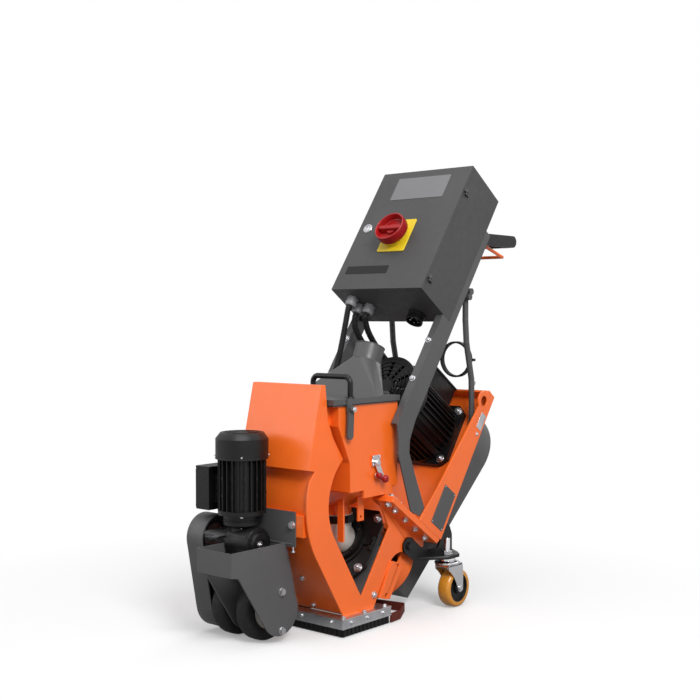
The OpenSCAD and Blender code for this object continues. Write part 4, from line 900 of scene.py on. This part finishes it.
# ---------------------------------------------------------------- sheet-metal dress of the head
bm = bmesh.new()
for k in (-1, 1):
    hex_bolt(bm, rig(k * 112, 139.8, 76.4), EX * k, 0.0075, True)
out = Vector((0, -0.847, -0.531))
for x, y, z in ((16.4, -14.0, 130.3), (11.3, 32.5, 56.1), (-76, -14.0, 130.3), (-76, 32.5, 56.1)):
    hex_bolt(bm, rig(x, y, z), out, 0.0062, True, 0.3)
obj("head_bolts", bm, "steel", "chassis", 30, 0.0002)
bm = bmesh.new()
for x in (-95, 0, 95):
    hex_bolt(bm, rig(x, 0.3, 34), -EY, 0.0050, True)
    hex_bolt(bm, rig(x, 183.7, 34), EY, 0.0050, True)
for k in (-1, 1):
    for y in (32, 92, 152):
        hex_bolt(bm, rig(k * 131.7, y, 33), EX * k, 0.0050, True)
obj("base_bolts", bm, "steel", "chassis", 30, 0.0002)
bm = bmesh.new()
for k in (-1, 1):
    x0 = k * 132.6
    add_box(bm, rig(x0, 92, 41.6), (0.0016, 0.183, 0.0022))
    add_box(bm, rig(x0, 92, 22.4), (0.0016, 0.183, 0.0022))
obj("base_lips", bm, "silver", "chassis", 30, 0.0004)
# teeth of the rubber seal
bm = bmesh.new()
for k in (-1, 1):
    for i in range(12):
        add_box(bm, rig(k * 127.6, 11.3 + i * 14.67, 11.0), (0.0044, 0.0100, 0.0180))
for i in range(17):
    for y in (4.4, 179.6):
        add_box(bm, rig(-119.2 + i * 14.9, y, 11.0), (0.0100, 0.0044, 0.0180))
obj("seal_strips", bm, "rubber", "chassis", 30)

# ---------------------------------------------------------------- floor, backdrop and light
def stage_mat(name, seen=0.86, bounced=0.30):
    """A white floor that keeps the shadow, is pure white far off, and bounces little light back.
    seen is its grey to the camera, and bounced its grey to the light that falls on the object."""
    g = Graph(name)
    path = g.add("ShaderNodeLightPath")
    g.bsdf.inputs["Roughness"].default_value = 0.9
    g.bsdf.inputs["Specular IOR Level"].default_value = 0.0
    g.link(g.mix(path.outputs["Is Camera Ray"], (*[bounced] * 3, 1), (*[seen] * 3, 1)),
        g.bsdf.inputs["Base Color"])
    glow = g.add("ShaderNodeEmission")
    glow.inputs["Strength"].default_value = 1.0
    length = g.add("ShaderNodeVectorMath", operation="LENGTH")
    g.link(g.coord, length.inputs[0])
    near = g.range(length.outputs["Value"], 0.40, 1.3, 0.28, 1.0)
    shown = g.add("ShaderNodeMath", operation="MAXIMUM")
    g.link(path.outputs["Is Camera Ray"], shown.inputs[0])
    half = g.add("ShaderNodeMath", operation="MULTIPLY")
    g.link(path.outputs["Is Glossy Ray"], half.inputs[0])
    half.inputs[1].default_value = 0.5
    g.link(half.outputs[0], shown.inputs[1])
    fac = g.add("ShaderNodeMath", operation="MULTIPLY")
    g.link(near, fac.inputs[0])
    g.link(shown.outputs[0], fac.inputs[1])
    mx = g.add("ShaderNodeMixShader")
    g.link(fac.outputs[0], mx.inputs[0])
    g.link(g.bsdf.outputs[0], mx.inputs[1])
    g.link(glow.outputs[0], mx.inputs[2])
    g.link(mx.outputs[0], g.out.inputs[0])
    return g.mat


bm = bmesh.new()
R, cove = 5.5, 1.2
prof = [(-R, 0.0), (3.2, 0.0)]
for i in range(1, 13):
    a = math.pi / 2 * i / 12
    prof.append((3.2 + cove * math.sin(a), cove * (1 - math.cos(a))))
prof.append((3.2 + cove, 5.0))
back = Vector((-math.sin(math.radians(CAMERA_TURN)), math.cos(math.radians(CAMERA_TURN)), 0))
side = Vector((back.y, -back.x, 0))
strips = []
for d, z in prof:
    strips.append([bm.verts.new(back * d + side * (-7 + 14 * j / 8) + EZ * z) for j in range(9)])
for a, b in zip(strips, strips[1:]):
    for j in range(8):
        bm.faces.new((a[j], a[j + 1], b[j + 1], b[j]))
me = bpy.data.meshes.new("floor")
bmesh.ops.recalc_face_normals(bm, faces=bm.faces)
bm.to_mesh(me)
bm.free()
me.shade_smooth()
floor = bpy.data.objects.new("floor", me)
scene.collection.objects.link(floor)
me.materials.append(stage_mat("floor_white"))

world = bpy.data.worlds.new("studio")
scene.world = world
world.use_nodes = True
wt = world.node_tree
wt.nodes.clear()
world_out = wt.nodes.new("ShaderNodeOutputWorld")
light, white = (wt.nodes.new("ShaderNodeBackground") for _ in range(2))
light.inputs[0].default_value, light.inputs[1].default_value = (0.98, 0.985, 1.0, 1), 0.42
white.inputs[0].default_value, white.inputs[1].default_value = (1, 1, 1, 1), 1.0
path = wt.nodes.new("ShaderNodeLightPath")
seen = wt.nodes.new("ShaderNodeMath")
seen.operation = "MAXIMUM"
choose = wt.nodes.new("ShaderNodeMixShader")
wt.links.new(path.outputs["Is Camera Ray"], seen.inputs[0])
wt.links.new(path.outputs["Is Glossy Ray"], seen.inputs[1])
wt.links.new(seen.outputs[0], choose.inputs[0])
wt.links.new(light.outputs[0], choose.inputs[1])
wt.links.new(white.outputs[0], choose.inputs[2])
wt.links.new(choose.outputs[0], world_out.inputs[0])


def lamp(name, loc, target, size, power, color=(1, 1, 1)):
    d = bpy.data.lights.new(name, "AREA")
    d.shape, d.size, d.energy, d.color = "SQUARE", size, power, color
    o = bpy.data.objects.new(name, d)
    scene.collection.objects.link(o)
    o.location = loc
    o.rotation_euler = (Vector(target) - Vector(loc)).to_track_quat("-Z", "Y").to_euler()
    return o


lamp("key", (2.9, -1.5, 2.9), (0, 0.1, 0.45), 1.5, 128)
lamp("fill", (-2.2, -2.6, 1.6), (0, 0.1, 0.45), 2.2, 19)
lamp("top", (0.3, -0.6, 3.2), (0, 0.1, 0.4), 1.6, 30)
lamp("rim", (-0.8, 2.9, 2.5), (0, 0.1, 0.6), 1.8, 22)
